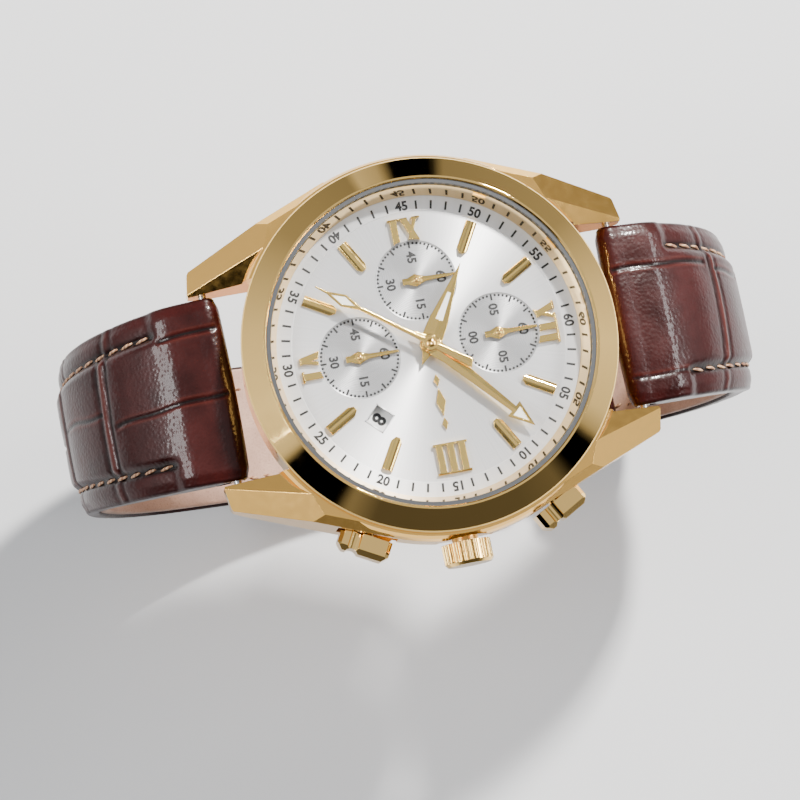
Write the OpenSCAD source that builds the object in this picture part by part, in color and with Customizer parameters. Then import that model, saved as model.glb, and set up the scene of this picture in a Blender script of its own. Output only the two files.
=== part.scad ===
// Chronograph wristwatch with a three-register dial and a fastened leather strap.
// +Z points out of the dial, +Y to 12 o'clock, +X to the crown.
// The origin is the middle of the case back's outer face.

/* [Case] */
// Radius of the case middle at its widest
case_r = 22.2; // [22:0.1:22.4]
// Height of the top of the case middle above the case back
case_top = 9; // [8.9:0.1:9.2]
// Outer radius of the bezel
bezel_r = 21.4; // [21:0.1:21.8]
// Inner radius of the bezel, where the crystal gasket sits
bezel_bore_r = 18.6; // [18.5:0.05:18.7]
// Gap between the lugs of one end
lug_gap = 22; // [21.8:0.1:22.4]
// Distance from the centre to the ends of the lugs
lug_reach = 25.5; // [25.3:0.1:25.8]
// Distance from the centre to the spring bars
bar_reach = 23.8; // [23.6:0.1:24]
// Height of the spring bars
bar_height = 2.9; // [2.8:0.1:3.2]

/* [Dial] */
// Radius of the dial
dial_r = 18.3; // [18:0.1:18.4]
// Height of the dial's upper face
dial_top = 8.2; // [8.1:0.1:8.3]
// Radius of each of the three small dials
register_r = 4.66; // [4.4:0.02:4.8]
// Distance of the upper and lower small dials from the centre
register_y = 8.05; // [7.9:0.05:8.2]
// Distance of the left small dial from the centre
register_x = 7.57; // [7.4:0.01:7.7]
// Radius of the circle on which the date window lies
date_r = 10.1; // [9.9:0.1:10.3]

/* [Hands] */
// Hour shown by the hands at rest
rest_hour = 10.05; // [9.8:0.05:10.2]
// Minute shown by the minute hand at rest
rest_minute = 8.15; // [7.5:0.05:9]
// Second shown by the chronograph hand at rest
rest_second = 36.1; // [35:0.1:37]

/* [Controls] */
// Height of the crown and pusher axes
control_z = 5.2; // [5.1:0.1:5.3]
// Radius of the crown
crown_r = 2.8; // [2.6:0.1:2.9]
// Number of flutes round the crown
crown_flutes = 26; // [20:2:30]
// How far the crown pulls out
crown_pull = 1.2; // [1:0.1:1.3]
// Angle of each pusher from the crown axis
pusher_angle = 29; // [28:1:30]
// How far a pusher travels
pusher_travel = 0.8; // [0.6:0.1:0.9]

/* [Strap] */
// Strap width between the lugs
strap_w = 21.2; // [20.8:0.1:21.4]
// Strap width at the sides of the loop
strap_w_side = 17.8; // [17.6:0.1:18.4]
// Strap width at the bottom of the loop
strap_w_back = 17.2; // [17:0.1:17.6]
// Padded thickness beside the lugs
strap_t = 4.6; // [4.2:0.1:4.8]
// Thickness of the short half at the buckle
strap_t_back = 3; // [2.8:0.1:3.2]
// Thickness of the long half's tail
tail_t = 2.4; // [2.2:0.1:2.6]
// Radius of the loop beside the lugs
side_r = 20.6; // [20:0.2:21]
// Radius of the loop's lower corners
corner_r = 20; // [19.6:0.2:20.4]
// How far the tail reaches past the bottom of the loop
tail_reach = 37; // [36:0.5:38]

/* [Hidden] */
$fn = 64;
far = 60;

// Case heights
case_bottom = 0.5;
back_t = 1;
dial_t = 0.4;
dial_seat = dial_top - dial_t;
rehaut_top = 10.4;
crystal_top = 11.5;
bezel_lip = 11.4;
movement_r = 16.9;
back_r = 18.4;
neck_r = 20.9;
flank_tilt = 21.8;
lug_tip_x = 13.95;
lug_tip_y = (case_r - lug_tip_x * cos(flank_tilt)) / sin(flank_tilt);

// Heights of the hands
register_hand_z = 8.36;
hour_hand_z = 8.76;
minute_hand_z = 9.22;
seconds_hand_z = 9.68;

// Radii of the coaxial arbors
seconds_arbor_r = 0.35;
cannon_r = 0.66;
hour_pipe_r = 0.96;
running = 0.06;
register_arbor_r = 0.24;

// Small dial centres: running seconds, chronograph minutes and counter
seconds_at = [0, -register_y];
minutes_at = [-register_x, 0];
counter_at = [0, register_y];
register_centres = [seconds_at, minutes_at, counter_at];

// Movement heights
plate_z = 4.2;
plate_top = 6.4;
plate_r = 14.4;
wheel_z = 3.5;
bridge_z = 2.9;
battery_at = [8.3, 0];
battery_r = 4.75;
rotor_reach = [3.7, 5.1];

// Motion work: teeth and modules
cannon_teeth = 12;
minute_teeth = 36;
minute_pinion_teeth = 10;
hour_teeth = 40;
motion_centre = 2.4;
motion_angle = 150;
first_module = 2 * motion_centre / (cannon_teeth + minute_teeth);
second_module = 2 * motion_centre / (minute_pinion_teeth + hour_teeth);

// Strap loop: arcs [centre, radius] in the YZ plane, tangent to each other
start_angle = 78;
corner_angle = -60;
deg = 180 / PI;
side_c = [bar_reach - side_r * cos(start_angle), bar_height - side_r * sin(start_angle)];
corner_c = side_c + [side_r - corner_r, 0];
back_arc_r = corner_r - corner_c[0] / cos(corner_angle) * -1;
back_c = [0, corner_c[1] + (corner_r - back_arc_r) * sin(corner_angle)];
side_len = side_r * start_angle / deg;
corner_len = corner_r * -corner_angle / deg;
back_len = back_arc_r * (90 + corner_angle) / deg;
half_loop = side_len + corner_len + back_len;
lining_t = 0.8;
wrap_r = 1.75;
buckle_at = 72;
tail_gap = 0.3;
tail_lift = strap_t_back / 2 + tail_gap + tail_t / 2;
ramp_from = 75;
ramp_to = 87;
crossbar_at = 77;
crossbar_r = 0.9;
strap_step = 2.5;

// ---------------------------------------------------------------- helpers

// Angle that turns +Y clockwise to a place on a dial of `full` divisions
function clock(value, full) = -360 * value / full;

// Ring between two radii and two heights
module ring(outer, inner, low, high) {
    translate([0, 0, low]) difference() {
        cylinder(r = outer, h = high - low, $fn = 128);
        translate([0, 0, -1]) cylinder(r = inner, h = high - low + 2, $fn = 128);
    }
}

// Disc between two heights
module disc(r, low, high) {
    translate([0, 0, low]) cylinder(r = r, h = high - low);
}

// Rod along X from one x to another, on the control axis
module rod_x(r, from, to) {
    translate([from, 0, control_z]) rotate([0, 90, 0]) cylinder(r = r, h = to - from);
}

// Box with its low and high corners
module box(low, high) {
    translate(low) cube(high - low);
}

// Everything on the side of a plane that its normal points to
module half_space(point, normal) {
    unit = normal / norm(normal);
    turn = cross([0, 0, 1], unit);
    translate(point) rotate(a = acos(unit[2]), v = turn)
        translate([-far, -far, 0]) cube([2 * far, 2 * far, far]);
}

// Places its children on a pusher's axis, +X outward; side is +1 or -1
module at_pusher(side) {
    rotate([0, 0, side * pusher_angle]) children();
}

// Flat toothed wheel with straight-sided teeth, one tooth on the +X axis
module gear(teeth, module_mm, low, high, bore) {
    pitch_r = teeth * module_mm / 2;
    tip_r = pitch_r + 0.7 * module_mm;
    root_r = pitch_r - 1.1 * module_mm;
    step = 360 / teeth;
    outline = [for (i = [0:teeth - 1]) each [
        root_r * [cos((i - 0.32) * step), sin((i - 0.32) * step)],
        tip_r * [cos((i - 0.12) * step), sin((i - 0.12) * step)],
        tip_r * [cos((i + 0.12) * step), sin((i + 0.12) * step)],
        root_r * [cos((i + 0.32) * step), sin((i + 0.32) * step)]
    ]];
    translate([0, 0, low]) difference() {
        linear_extrude(high - low) polygon(outline);
        translate([0, 0, -1]) cylinder(r = bore, h = high - low + 2);
    }
}

// ---------------------------------------------------------------- case

// Plan of one lug and the straight flank that runs back to the case middle
module lug_plan() {
    tangent = case_r * [cos(flank_tilt), sin(flank_tilt)];
    polygon([
        [lug_gap / 2, 9], [lug_gap / 2, lug_reach - 0.1], [lug_gap / 2 + 0.3, lug_reach],
        [lug_tip_x - 0.3, lug_tip_y + 0.2], [lug_tip_x, lug_tip_y], tangent, [17, 2]
    ]);
}

// One faceted lug at the 2 o'clock corner
module lug() {
    ridge_tip = [lug_gap / 2 + 0.3, lug_reach, 3.7];
    ridge_root = [14.2, 16.4, case_top];
    outer_tip = [lug_tip_x, lug_tip_y, 3.4];
    inner_root = [lug_gap / 2, 18.4, case_top - 2.2];
    edge_root = [20.2, 9, case_top - 0.9];
    top_normal = cross(ridge_root - ridge_tip, outer_tip - ridge_tip);
    inner_normal = cross(inner_root - ridge_tip, ridge_root - ridge_tip);
    edge_normal = [cos(flank_tilt), sin(flank_tilt), 0.9];
    difference() {
        translate([0, 0, case_bottom]) linear_extrude(case_top - case_bottom) lug_plan();
        half_space(ridge_tip, top_normal);
        half_space(ridge_tip, inner_normal);
        half_space(edge_root, edge_normal);
        half_space([0, lug_reach - 1.6, case_bottom], [0, 1, -1.4]);
        translate([0, 0, -1]) cylinder(r = neck_r - 3, h = far);
    }
}

module case_body() {
    flank = [
        [movement_r - 1, case_bottom], [19.6, case_bottom], [20.9, 1.2], [21.7, 2.4],
        [case_r, 4.2], [case_r, 7.6], [22, 8.4], [21.7, case_top], [movement_r - 1, case_top]
    ];
    color("goldenrod") difference() {
        union() {
            difference() {
                rotate_extrude($fn = 128) polygon(flank);
                for (side = [-1, 1])
                    translate([-lug_gap / 2, side > 0 ? 12 : -12 - far, -1]) difference() {
                        cube([lug_gap, far, far]);
                        translate([lug_gap / 2, side > 0 ? -12 : 12 + far, -1])
                            cylinder(r = neck_r, h = far + 2, $fn = 128);
                    }
            }
            for (x = [0, 1], y = [0, 1]) mirror([x, 0, 0]) mirror([0, y, 0]) lug();
        }
        // Movement chamber, dial seat, gasket groove and case back recess
        disc(movement_r, -1, far);
        disc(bezel_bore_r, dial_seat, far);
        disc(movement_r + 0.3, -1, back_t + 0.4);
        disc(back_r + 0.1, -1, back_t);
        for (i = [0:3]) rotate([0, 0, 45 + 90 * i]) translate([17.8, 0, 0])
            disc(0.4, 0, 2.8);
        // Crown tube hole and its flat
        rod_x(1.5, 15, far);
        translate([21.9, 0, control_z]) rotate([0, 90, 0]) cylinder(r = 3.3, h = far);
        // Pusher holes and the pockets behind the pusher caps
        for (side = [-1, 1]) at_pusher(side) {
            rod_x(1.45, 15, far);
            box([21.5, -3.4, control_z - 2], [far, 3.4, control_z + 2]);
        }
        // Spring bar holes
        for (side = [-1, 1]) translate([-12.6, side * bar_reach, bar_height])
            rotate([0, 90, 0]) cylinder(r = 0.5, h = 25.2);
    }
}

module bezel() {
    color("gold") rotate_extrude($fn = 128) polygon([
        [bezel_bore_r, case_top], [bezel_r, case_top], [bezel_r, case_top + 0.75],
        [bezel_r - 0.15, case_top + 0.95], [bezel_bore_r + 0.35, bezel_lip],
        [bezel_bore_r + 0.12, bezel_lip], [bezel_bore_r, bezel_lip - 0.12]
    ]);
}

module crystal() {
    r = bezel_bore_r - 0.45;
    color("lightcyan", 0.35) rotate_extrude($fn = 128) polygon([
        [0, rehaut_top], [r, rehaut_top], [r, crystal_top - 0.25],
        [r - 0.25, crystal_top], [0, crystal_top]
    ]);
}

module crystal_gasket() {
    color("gainsboro") ring(bezel_bore_r, bezel_bore_r - 0.45, rehaut_top, crystal_top - 0.3);
}

module rehaut_ring() {
    outer = bezel_bore_r - 0.05;
    color("khaki") rotate_extrude($fn = 128) polygon([
        [17.3, dial_top], [outer, dial_top], [outer, rehaut_top],
        [18.05, rehaut_top], [17.3, dial_top + 0.25]
    ]);
}

module case_back() {
    color("darkkhaki") difference() {
        union() {
            disc(back_r, 0, back_t, $fn = 128);
            ring(movement_r - 0.1, movement_r - 1.1, back_t, back_t + 0.9);
        }
        for (i = [0:3]) rotate([0, 0, 45 + 90 * i]) translate([17.8, 0, 0]) {
            disc(0.45, -1, 2);
            disc(0.58, -1, 0.5);
        }
        ring(12.2, 11.8, -1, 0.12);
    }
}

module case_back_gasket() {
    color("dimgray") ring(movement_r + 0.28, movement_r - 0.08, back_t, back_t + 0.38);
}

module case_back_screws() {
    color("silver") for (i = [0:3]) rotate([0, 0, 45 + 90 * i]) translate([17.8, 0, 0])
        difference() {
            union() {
                disc(0.55, 0.06, 0.5);
                disc(0.38, 0.5, 2.7);
            }
            rotate([0, 0, 30]) box([-1, -0.08, -1], [1, 0.08, 0.22]);
        }
}

// ---------------------------------------------------------------- crown and pushers

stem_r = 0.55;
tube_bore_r = 1;
crown_from = 22.4;
crown_to = 25;

module crown_tube() {
    color("darkgoldenrod") difference() {
        rod_x(1.5, 17.6, 23.3);
        rod_x(tube_bore_r, 17, 24);
    }
}

module crown() {
    flute_r = 0.22;
    color("gold") difference() {
        union() {
            rod_x(crown_r, crown_from, crown_to - 0.35);
            translate([crown_to - 0.35, 0, control_z]) rotate([0, 90, 0])
                cylinder(r1 = crown_r, r2 = crown_r - 0.3, h = 0.35);
        }
        difference() {
            rod_x(1.85, crown_from - 1, 24.1);
            rod_x(tube_bore_r - running, crown_from - 2, 24.2);
        }
        rod_x(0.5, crown_from - 1, 24.3);
        for (i = [0:crown_flutes - 1]) translate([0, 0, control_z])
            rotate([i * 360 / crown_flutes, 0, 0]) translate([crown_from - 1, 0, crown_r + 0.04])
                rotate([0, 90, 0]) cylinder(r = flute_r, h = 3.2, $fn = 16);
    }
}

module crown_gasket() {
    color("dimgray") difference() {
        rod_x(1.85, crown_from + 0.1, crown_from + 0.55);
        rod_x(1.56, crown_from, crown_from + 1);
    }
}

module winding_stem() {
    color("silver") difference() {
        union() {
            rod_x(stem_r, 10.4, 17.6);
            rod_x(0.48, 17.6, 24.28);
            box([6.6, -0.37, control_z - 0.37], [10.4, 0.37, control_z + 0.37]);
        }
        difference() {
            rod_x(1, 12.2, 12.9);
            rod_x(0.3, 12, 13);
        }
    }
}

module clutch_wheel() {
    teeth = 14;
    color("lightsteelblue") difference() {
        rod_x(0.95, 7.2, 8.8);
        box([7, -0.42, control_z - 0.42], [9, 0.42, control_z + 0.42]);
        for (i = [0:teeth - 1]) translate([0, 0, control_z]) rotate([i * 360 / teeth, 0, 0])
            box([7, -0.08, 0.78], [7.7, 0.08, 1.2]);
    }
}

module pusher_tubes() {
    color("darkgoldenrod") for (side = [-1, 1]) at_pusher(side) difference() {
        rod_x(1.45, 17.6, 21.5);
        rod_x(0.76, 17, 22);
        rod_x(1.2, 19, 22);
    }
}

// Cap, stem and retaining collar of one pusher, on the X axis. A waist parts the
// cap into a long lobe and a short one on the side of the 6 o'clock lugs.
module pusher_piece() {
    waist_y = -1.15;
    color("gold") {
        difference() {
            box([22.5, -3, control_z - 1.65], [24.9, 3, control_z + 1.65]);
            translate([25.3, waist_y, 0]) cylinder(r = 0.8, h = far);
            for (z = [-2.1, 2.1]) translate([20, waist_y, control_z + z])
                rotate([0, 90, 0]) cylinder(r = 0.8, h = 8);
            for (z = [-1, 1]) half_space([24.9, 0, control_z + z * 1.05], [1, 0, z]);
            for (y = [-1, 1]) half_space([24.9, y * 2.3, control_z], [1, y, 0]);
            for (y = [-1, 1], z = [-1, 1])
                half_space([0, y * 2.55, control_z + z * 1.65], [0, y, z]);
        }
        rod_x(0.7, 15.6, 22.6);
        rod_x(1, 17.25, 17.5);
    }
}

module pusher_start() {
    at_pusher(1) pusher_piece();
}

module pusher_reset() {
    at_pusher(-1) pusher_piece();
}

// Wire spring wound round the X axis
module coil_spring(from, to, r, wire_r, turns) {
    steps = 14;
    sides = 6;
    count = turns * steps;
    rings = [for (i = [0:count]) let (a = i * 360 / steps, x = from + (to - from) * i / count)
        [for (k = [0:sides - 1]) let (b = k * 360 / sides, rr = r + wire_r * cos(b))
            [x + wire_r * sin(b), rr * cos(a), control_z + rr * sin(a)]]];
    faces = concat(
        [[for (k = [0:sides - 1]) k]],
        [for (i = [0:count - 1], k = [0:sides - 1]) let (n = (k + 1) % sides)
            [i * sides + n, i * sides + k, (i + 1) * sides + k, (i + 1) * sides + n]],
        [[for (k = [sides - 1:-1:0]) count * sides + k]]
    );
    polyhedron([for (one = rings) each one], faces, convexity = 10);
}

module pusher_spring_start() {
    color("silver") at_pusher(1) coil_spring(20.05, 22.35, 0.98, 0.12, 5);
}

module pusher_spring_reset() {
    color("silver") at_pusher(-1) coil_spring(20.05, 22.35, 0.98, 0.12, 5);
}

// ---------------------------------------------------------------- dial

date_angle = -45;
date_at = date_r * [cos(date_angle), sin(date_angle)];
date_w = 2.2;

module dial() {
    color("whitesmoke") difference() {
        union() {
            disc(dial_r, dial_seat, dial_top, $fn = 128);
            for (a = [60, 240]) rotate([0, 0, a]) translate([13.4, 0, 0])
                disc(0.3, plate_top + 0.1, dial_seat + 0.1);
        }
        disc(hour_pipe_r + 0.15, 0, far);
        for (at = register_centres) translate([at[0], at[1], 0]) {
            disc(register_r, dial_top - 0.15, far, $fn = 96);
            disc(register_arbor_r + 0.15, 0, far);
        }
        translate([date_at[0], date_at[1], 0]) rotate([0, 0, date_angle])
            box([-date_w / 2, -date_w / 2, 0], [date_w / 2, date_w / 2, far]);
    }
}

// One applied hour bar, pointed at its inner end and rounded on top
module baton() {
    inner = 11.2;
    outer = 15.1;
    w = 1.25;
    intersection() {
        translate([0, 0, dial_top]) linear_extrude(0.5) polygon([
            [-w / 2, inner + 0.55], [-0.25, inner], [0.25, inner], [w / 2, inner + 0.55],
            [w / 2, outer], [-w / 2, outer]
        ]);
        translate([0, inner - 1, dial_top - 0.38]) rotate([-90, 0, 0])
            cylinder(r = 0.88, h = outer - inner + 2);
    }
}

module dial_indices() {
    color("gold") for (hour = [1, 2, 4, 5, 7, 8, 10, 11]) rotate([0, 0, clock(hour, 12)]) baton();
}

numeral_low = 11.3;
numeral_high = 14.85;
numeral_h = numeral_high - numeral_low;
stroke = 0.78;
serif = 0.26;

// Serif bar centred on x at the foot or the head of a numeral
module numeral_serif(x, w, y) {
    translate([x - w / 2, y]) square([w, serif]);
}

// Upright stroke of an applied numeral, with its serifs
module stroke_upright(x) {
    translate([x - stroke / 2, 0]) square([stroke, numeral_h]);
    numeral_serif(x, stroke + 0.5, 0);
    numeral_serif(x, stroke + 0.5, numeral_h - serif);
}

// Slanted stroke from a foot x to a head x
module stroke_slant(foot, head, w) {
    polygon([
        [foot - w / 2, 0], [foot + w / 2, 0], [head + w / 2, numeral_h], [head - w / 2, numeral_h]
    ]);
}

module numeral_v(x) {
    stroke_slant(x, x - 0.78, stroke);
    stroke_slant(x, x + 0.78, 0.4);
    numeral_serif(x - 0.78, stroke + 0.45, numeral_h - serif);
    numeral_serif(x + 0.78, 0.8, numeral_h - serif);
}

module numeral_x(x) {
    stroke_slant(x + 0.72, x - 0.72, stroke);
    stroke_slant(x - 0.72, x + 0.72, 0.4);
    for (y = [0, numeral_h - serif]) {
        numeral_serif(x - 0.72, 0.95, y);
        numeral_serif(x + 0.72, 0.95, y);
    }
}

// Places a numeral's foot on the inner circle at an hour, +Y outward
module at_hour(hour) {
    rotate([0, 0, clock(hour, 12)]) translate([0, numeral_low, 0]) children();
}

module numeral_body() {
    translate([0, 0, dial_top]) linear_extrude(0.5) children();
}

module dial_numerals() {
    color("gold") difference() {
        union() {
            at_hour(12) numeral_body() {
                numeral_x(-1.35);
                stroke_upright(0.35);
                stroke_upright(1.65);
            }
            at_hour(3) numeral_body() for (x = [-1.3, 0, 1.3]) stroke_upright(x);
            translate([0, -numeral_high, 0]) numeral_body() {
                numeral_v(-0.65);
                stroke_upright(1.15);
            }
            at_hour(9) numeral_body() {
                stroke_upright(-1.35);
                numeral_x(0.55);
            }
        }
        for (at = register_centres) translate([at[0], at[1], 0])
            disc(register_r + 0.05, 0, far, $fn = 96);
        // Polished bevel along the outer edge of the numerals
        rotate_extrude($fn = 128) polygon([
            [numeral_high - 0.12, dial_top + 0.52], [numeral_high + 1, dial_top - 0.6],
            [numeral_high + 1, dial_top + 0.52]
        ]);
    }
}

// Plain applied ornament between the centre and 3 o'clock
module dial_ornament() {
    function lozenge(x, long, wide) = [
        [x - long / 2, 0], [x, -wide / 2], [x + long / 2, 0], [x, wide / 2]
    ];
    color("gold") translate([0, 0, dial_top]) linear_extrude(0.3) {
        polygon(lozenge(6.6, 3.2, 1.1));
        for (x = [4.1, 9.1]) polygon(lozenge(x, 1.4, 0.7));
    }
}

module date_disc() {
    color("white") ring(11.6, 8.7, 6.95, 7.2);
}

// ---------------------------------------------------------------- hands

// Cuts both long sides of a hand that points along +Y down to shallow slopes
module ridge_cuts(top, slope) {
    for (side = [-1, 1]) half_space([0, 0, top], [side * slope, 0, 1]);
}

// Hand blade: a flat outline with a ridge along its middle, plus a round hub
module blade(low, top, slope, hub_r, bore_r) {
    difference() {
        union() {
            difference() {
                translate([0, 0, low]) linear_extrude(top - low) children();
                ridge_cuts(top, slope);
            }
            disc(hub_r, low, top + 0.02);
        }
        disc(bore_r, 0, far);
    }
}

hand_t = 0.24;
hour_angle = clock(rest_hour, 12);
minute_angle = clock(rest_minute, 60);
second_angle = clock(rest_second, 60);

// Window in the hour hand that holds its luminous strip
module hour_window() {
    polygon([[-0.42, 3], [0.42, 3], [0.2, 6.4], [-0.2, 6.4]]);
}

module hour_hand() {
    color("gold") rotate([0, 0, hour_angle]) difference() {
        blade(hour_hand_z, hour_hand_z + hand_t, 0.1, 1.15, hour_pipe_r)
            polygon([[0, -2.6], [1.2, 0.8], [1.1, 3], [0, 10.1], [-1.1, 3], [-1.2, 0.8]]);
        linear_extrude(far) hour_window();
    }
}

module hour_lume() {
    color("ivory") rotate([0, 0, hour_angle]) translate([0, 0, hour_hand_z])
        linear_extrude(hand_t - 0.05) hour_window();
}

module minute_window() {
    polygon([[-0.62, 12.3], [0.62, 12.3], [0, 14.1]]);
}

module minute_hand() {
    color("gold") rotate([0, 0, minute_angle]) difference() {
        blade(minute_hand_z, minute_hand_z + hand_t, 0.12, 1, cannon_r)
            polygon([
                [0, -2.4], [1, 0.8], [0.75, 2.4], [0.38, 11.9], [1.1, 11.9], [0, 14.95],
                [-1.1, 11.9], [-0.38, 11.9], [-0.75, 2.4], [-1, 0.8]
            ]);
        linear_extrude(far) minute_window();
    }
}

module minute_lume() {
    color("ivory") rotate([0, 0, minute_angle]) translate([0, 0, minute_hand_z])
        linear_extrude(hand_t - 0.09) minute_window();
}

module seconds_window() {
    polygon([[0, 9.5], [0.48, 10.9], [0, 12.5], [-0.48, 10.9]]);
}

module chrono_seconds_hand() {
    color("gold") {
        rotate([0, 0, second_angle]) difference() {
            blade(seconds_hand_z, seconds_hand_z + 0.2, 0.1, 0.82, seconds_arbor_r)
                polygon([
                    [-0.5, -5.4], [0.5, -5], [0.34, -0.5], [0.24, 2], [0.2, 8.9], [0.74, 10.9],
                    [0.16, 12.9], [0.05, 14.5], [-0.05, 14.5], [-0.16, 12.9], [-0.74, 10.9],
                    [-0.2, 8.9], [-0.24, 2], [-0.34, -0.5]
                ]);
            linear_extrude(far) seconds_window();
        }
        disc(seconds_arbor_r, bridge_z + 0.05, seconds_hand_z + 0.3);
        translate([0, 0, wheel_z]) difference() {
            cylinder(r = 3.2, h = 0.2);
            translate([0, 0, -1]) cylinder(r = seconds_arbor_r, h = 2);
        }
    }
}

module seconds_lume() {
    color("ivory") rotate([0, 0, second_angle]) translate([0, 0, seconds_hand_z])
        linear_extrude(0.12) seconds_window();
}

// Small hand on its arbor with the wheel that drives it
module register_hand(at, wheel_r) {
    low = register_hand_z;
    color("gold") translate([at[0], at[1], 0]) {
        blade(low, low + 0.18, 0.12, 0.55, register_arbor_r)
            polygon([
                [-0.36, -1.6], [0.36, -1.6], [0.36, -1], [0.74, -0.1], [0.45, 0.55], [0.28, 1.1],
                [0.14, 4.45], [-0.14, 4.45], [-0.28, 1.1], [-0.45, 0.55], [-0.74, -0.1],
                [-0.36, -1]
            ]);
        disc(register_arbor_r, bridge_z + 0.05, low + 0.22);
        translate([0, 0, wheel_z]) difference() {
            cylinder(r = wheel_r, h = 0.2);
            translate([0, 0, -1]) cylinder(r = register_arbor_r, h = 2);
        }
    }
}

module small_seconds_hand() {
    register_hand(seconds_at, 2.8);
}

module chrono_minute_hand() {
    register_hand(minutes_at, 2.8);
}

module chrono_counter_hand() {
    register_hand(counter_at, 2.8);
}

// ---------------------------------------------------------------- motion work

module cannon_pinion() {
    color("khaki") {
        difference() {
            disc(cannon_r, plate_top - 1, minute_hand_z + 0.3);
            disc(seconds_arbor_r + running, 0, far);
        }
        rotate([0, 0, motion_angle])
            gear(cannon_teeth, first_module, plate_top + 0.05, plate_top + 0.3, cannon_r - 0.2);
    }
}

module hour_wheel() {
    color("khaki") {
        difference() {
            disc(hour_pipe_r, plate_top + 0.45, hour_hand_z + 0.28);
            disc(cannon_r + running, 0, far);
        }
        rotate([0, 0, motion_angle])
            gear(hour_teeth, second_module, plate_top + 0.45, plate_top + 0.65, hour_pipe_r - 0.1);
    }
}

motion_at = motion_centre * [cos(motion_angle), sin(motion_angle)];
minute_wheel_turn = motion_angle + 180;

module minute_wheel() {
    color("khaki") translate([motion_at[0], motion_at[1], 0]) {
        rotate([0, 0, minute_wheel_turn + 180 / minute_teeth])
            gear(minute_teeth, first_module, plate_top + 0.05, plate_top + 0.3, 0.26);
        rotate([0, 0, minute_wheel_turn + 180 / minute_pinion_teeth])
            gear(minute_pinion_teeth, second_module, plate_top + 0.2, plate_top + 0.65, 0.26);
    }
}

// ---------------------------------------------------------------- movement

screw_places = [[-11.6, 6.6], [-11.6, -6.6], [-3, -13], [-3, 13]];

module main_plate() {
    post_r = 0.2;
    color("silver") difference() {
        union() {
            disc(plate_r, plate_z, plate_top);
            translate([motion_at[0], motion_at[1], 0]) disc(post_r, plate_top, plate_top + 0.7);
            for (at = screw_places) translate([at[0], at[1], 0]) disc(0.9, bridge_z + 0.4, plate_z);
        }
        disc(cannon_r + running, 0, far);
        for (at = register_centres) translate([at[0], at[1], 0])
            disc(register_arbor_r + running, 0, far);
        for (at = screw_places) translate([at[0], at[1], 0]) disc(0.35, 0, plate_top - 0.5);
        for (a = [60, 240]) rotate([0, 0, a]) translate([13.4, 0, 0]) disc(0.32, 5, far);
        rod_x(stem_r + running, 6, far);
        box([6.2, -1.2, plate_z - 1], [10.9, 1.2, far]);
        box([11.8, -0.8, control_z], [far, 0.8, far]);
        translate([lever_x, lever_y, 0]) disc(0.3, plate_top - 0.5, far);
        for (side = [-1, 1]) translate([rotor_reach[0], side * rotor_reach[1], 0])
            disc(1, 0, plate_z + 0.6);
    }
}

module movement_ring() {
    color("whitesmoke") difference() {
        ring(movement_r - 0.15, 15, back_t + 0.95, dial_seat - 0.1);
        rod_x(0.9, 10, far);
        for (side = [-1, 1]) at_pusher(side) rod_x(1.3, 10, far);
    }
}

module train_bridge() {
    color("silver") difference() {
        intersection() {
            disc(14, bridge_z, bridge_z + 0.4);
            box([-far, -far, 0], [3, far, far]);
        }
        disc(seconds_arbor_r + running, bridge_z + 0.05, far);
        for (at = register_centres) translate([at[0], at[1], 0])
            disc(register_arbor_r + running, bridge_z + 0.05, far);
        for (at = screw_places) translate([at[0], at[1], 0]) disc(0.4, 0, far);
        for (side = [-1, 1]) translate([rotor_reach[0], side * rotor_reach[1], 0]) disc(1.7, 0, far);
    }
}

module movement_screws() {
    color("steelblue") for (at = screw_places) translate([at[0], at[1], 0]) difference() {
        union() {
            disc(0.34, bridge_z, plate_top - 0.6);
            disc(0.7, bridge_z - 0.35, bridge_z);
        }
        box([-1, -0.1, 0], [1, 0.1, bridge_z - 0.2]);
    }
}

module circuit_board() {
    color("darkgreen") difference() {
        intersection() {
            disc(13.6, bridge_z - 0.3, bridge_z - 0.05);
            box([-far, -far, 0], [1.6, far, far]);
        }
        for (at = screw_places) translate([at[0], at[1], 0]) disc(1, 0, far);
    }
}

board_back = bridge_z - 0.3;

module quartz_can() {
    color("silver") translate([-8, -5.5, board_back - 0.36]) rotate([-90, 0, 30])
        cylinder(r = 0.35, h = 4.6);
}

module control_chip() {
    color("#222222") box([-6, 3, board_back - 0.5], [-3.2, 5.8, board_back]);
}

module battery() {
    color("lightgray") translate([battery_at[0], battery_at[1], 0]) {
        disc(battery_r, 1.95, 4);
        disc(battery_r - 0.7, 1.75, 1.95);
    }
}

module battery_clamp() {
    color("tan") translate([battery_at[0], battery_at[1], 0]) {
        box([-5.6, -0.6, 1.45], [3.2, 0.6, 1.7]);
        box([-5.6, -0.6, 1.7], [-5.3, 0.6, board_back - 0.02]);
    }
}

// Puts its children at a coil, +X along the winding
module at_coil(side) {
    translate([8.6, side * 9.6, 2.5]) rotate([0, 0, side * -48]) children();
}

module drive_coils() {
    color("peru") for (side = [-1, 1]) at_coil(side) rotate([0, 90, 0]) difference() {
        translate([0, 0, -3.4]) cylinder(r = 1.1, h = 6.8);
        translate([0, 0, -5]) cylinder(r = 0.4, h = 10);
    }
}

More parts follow.
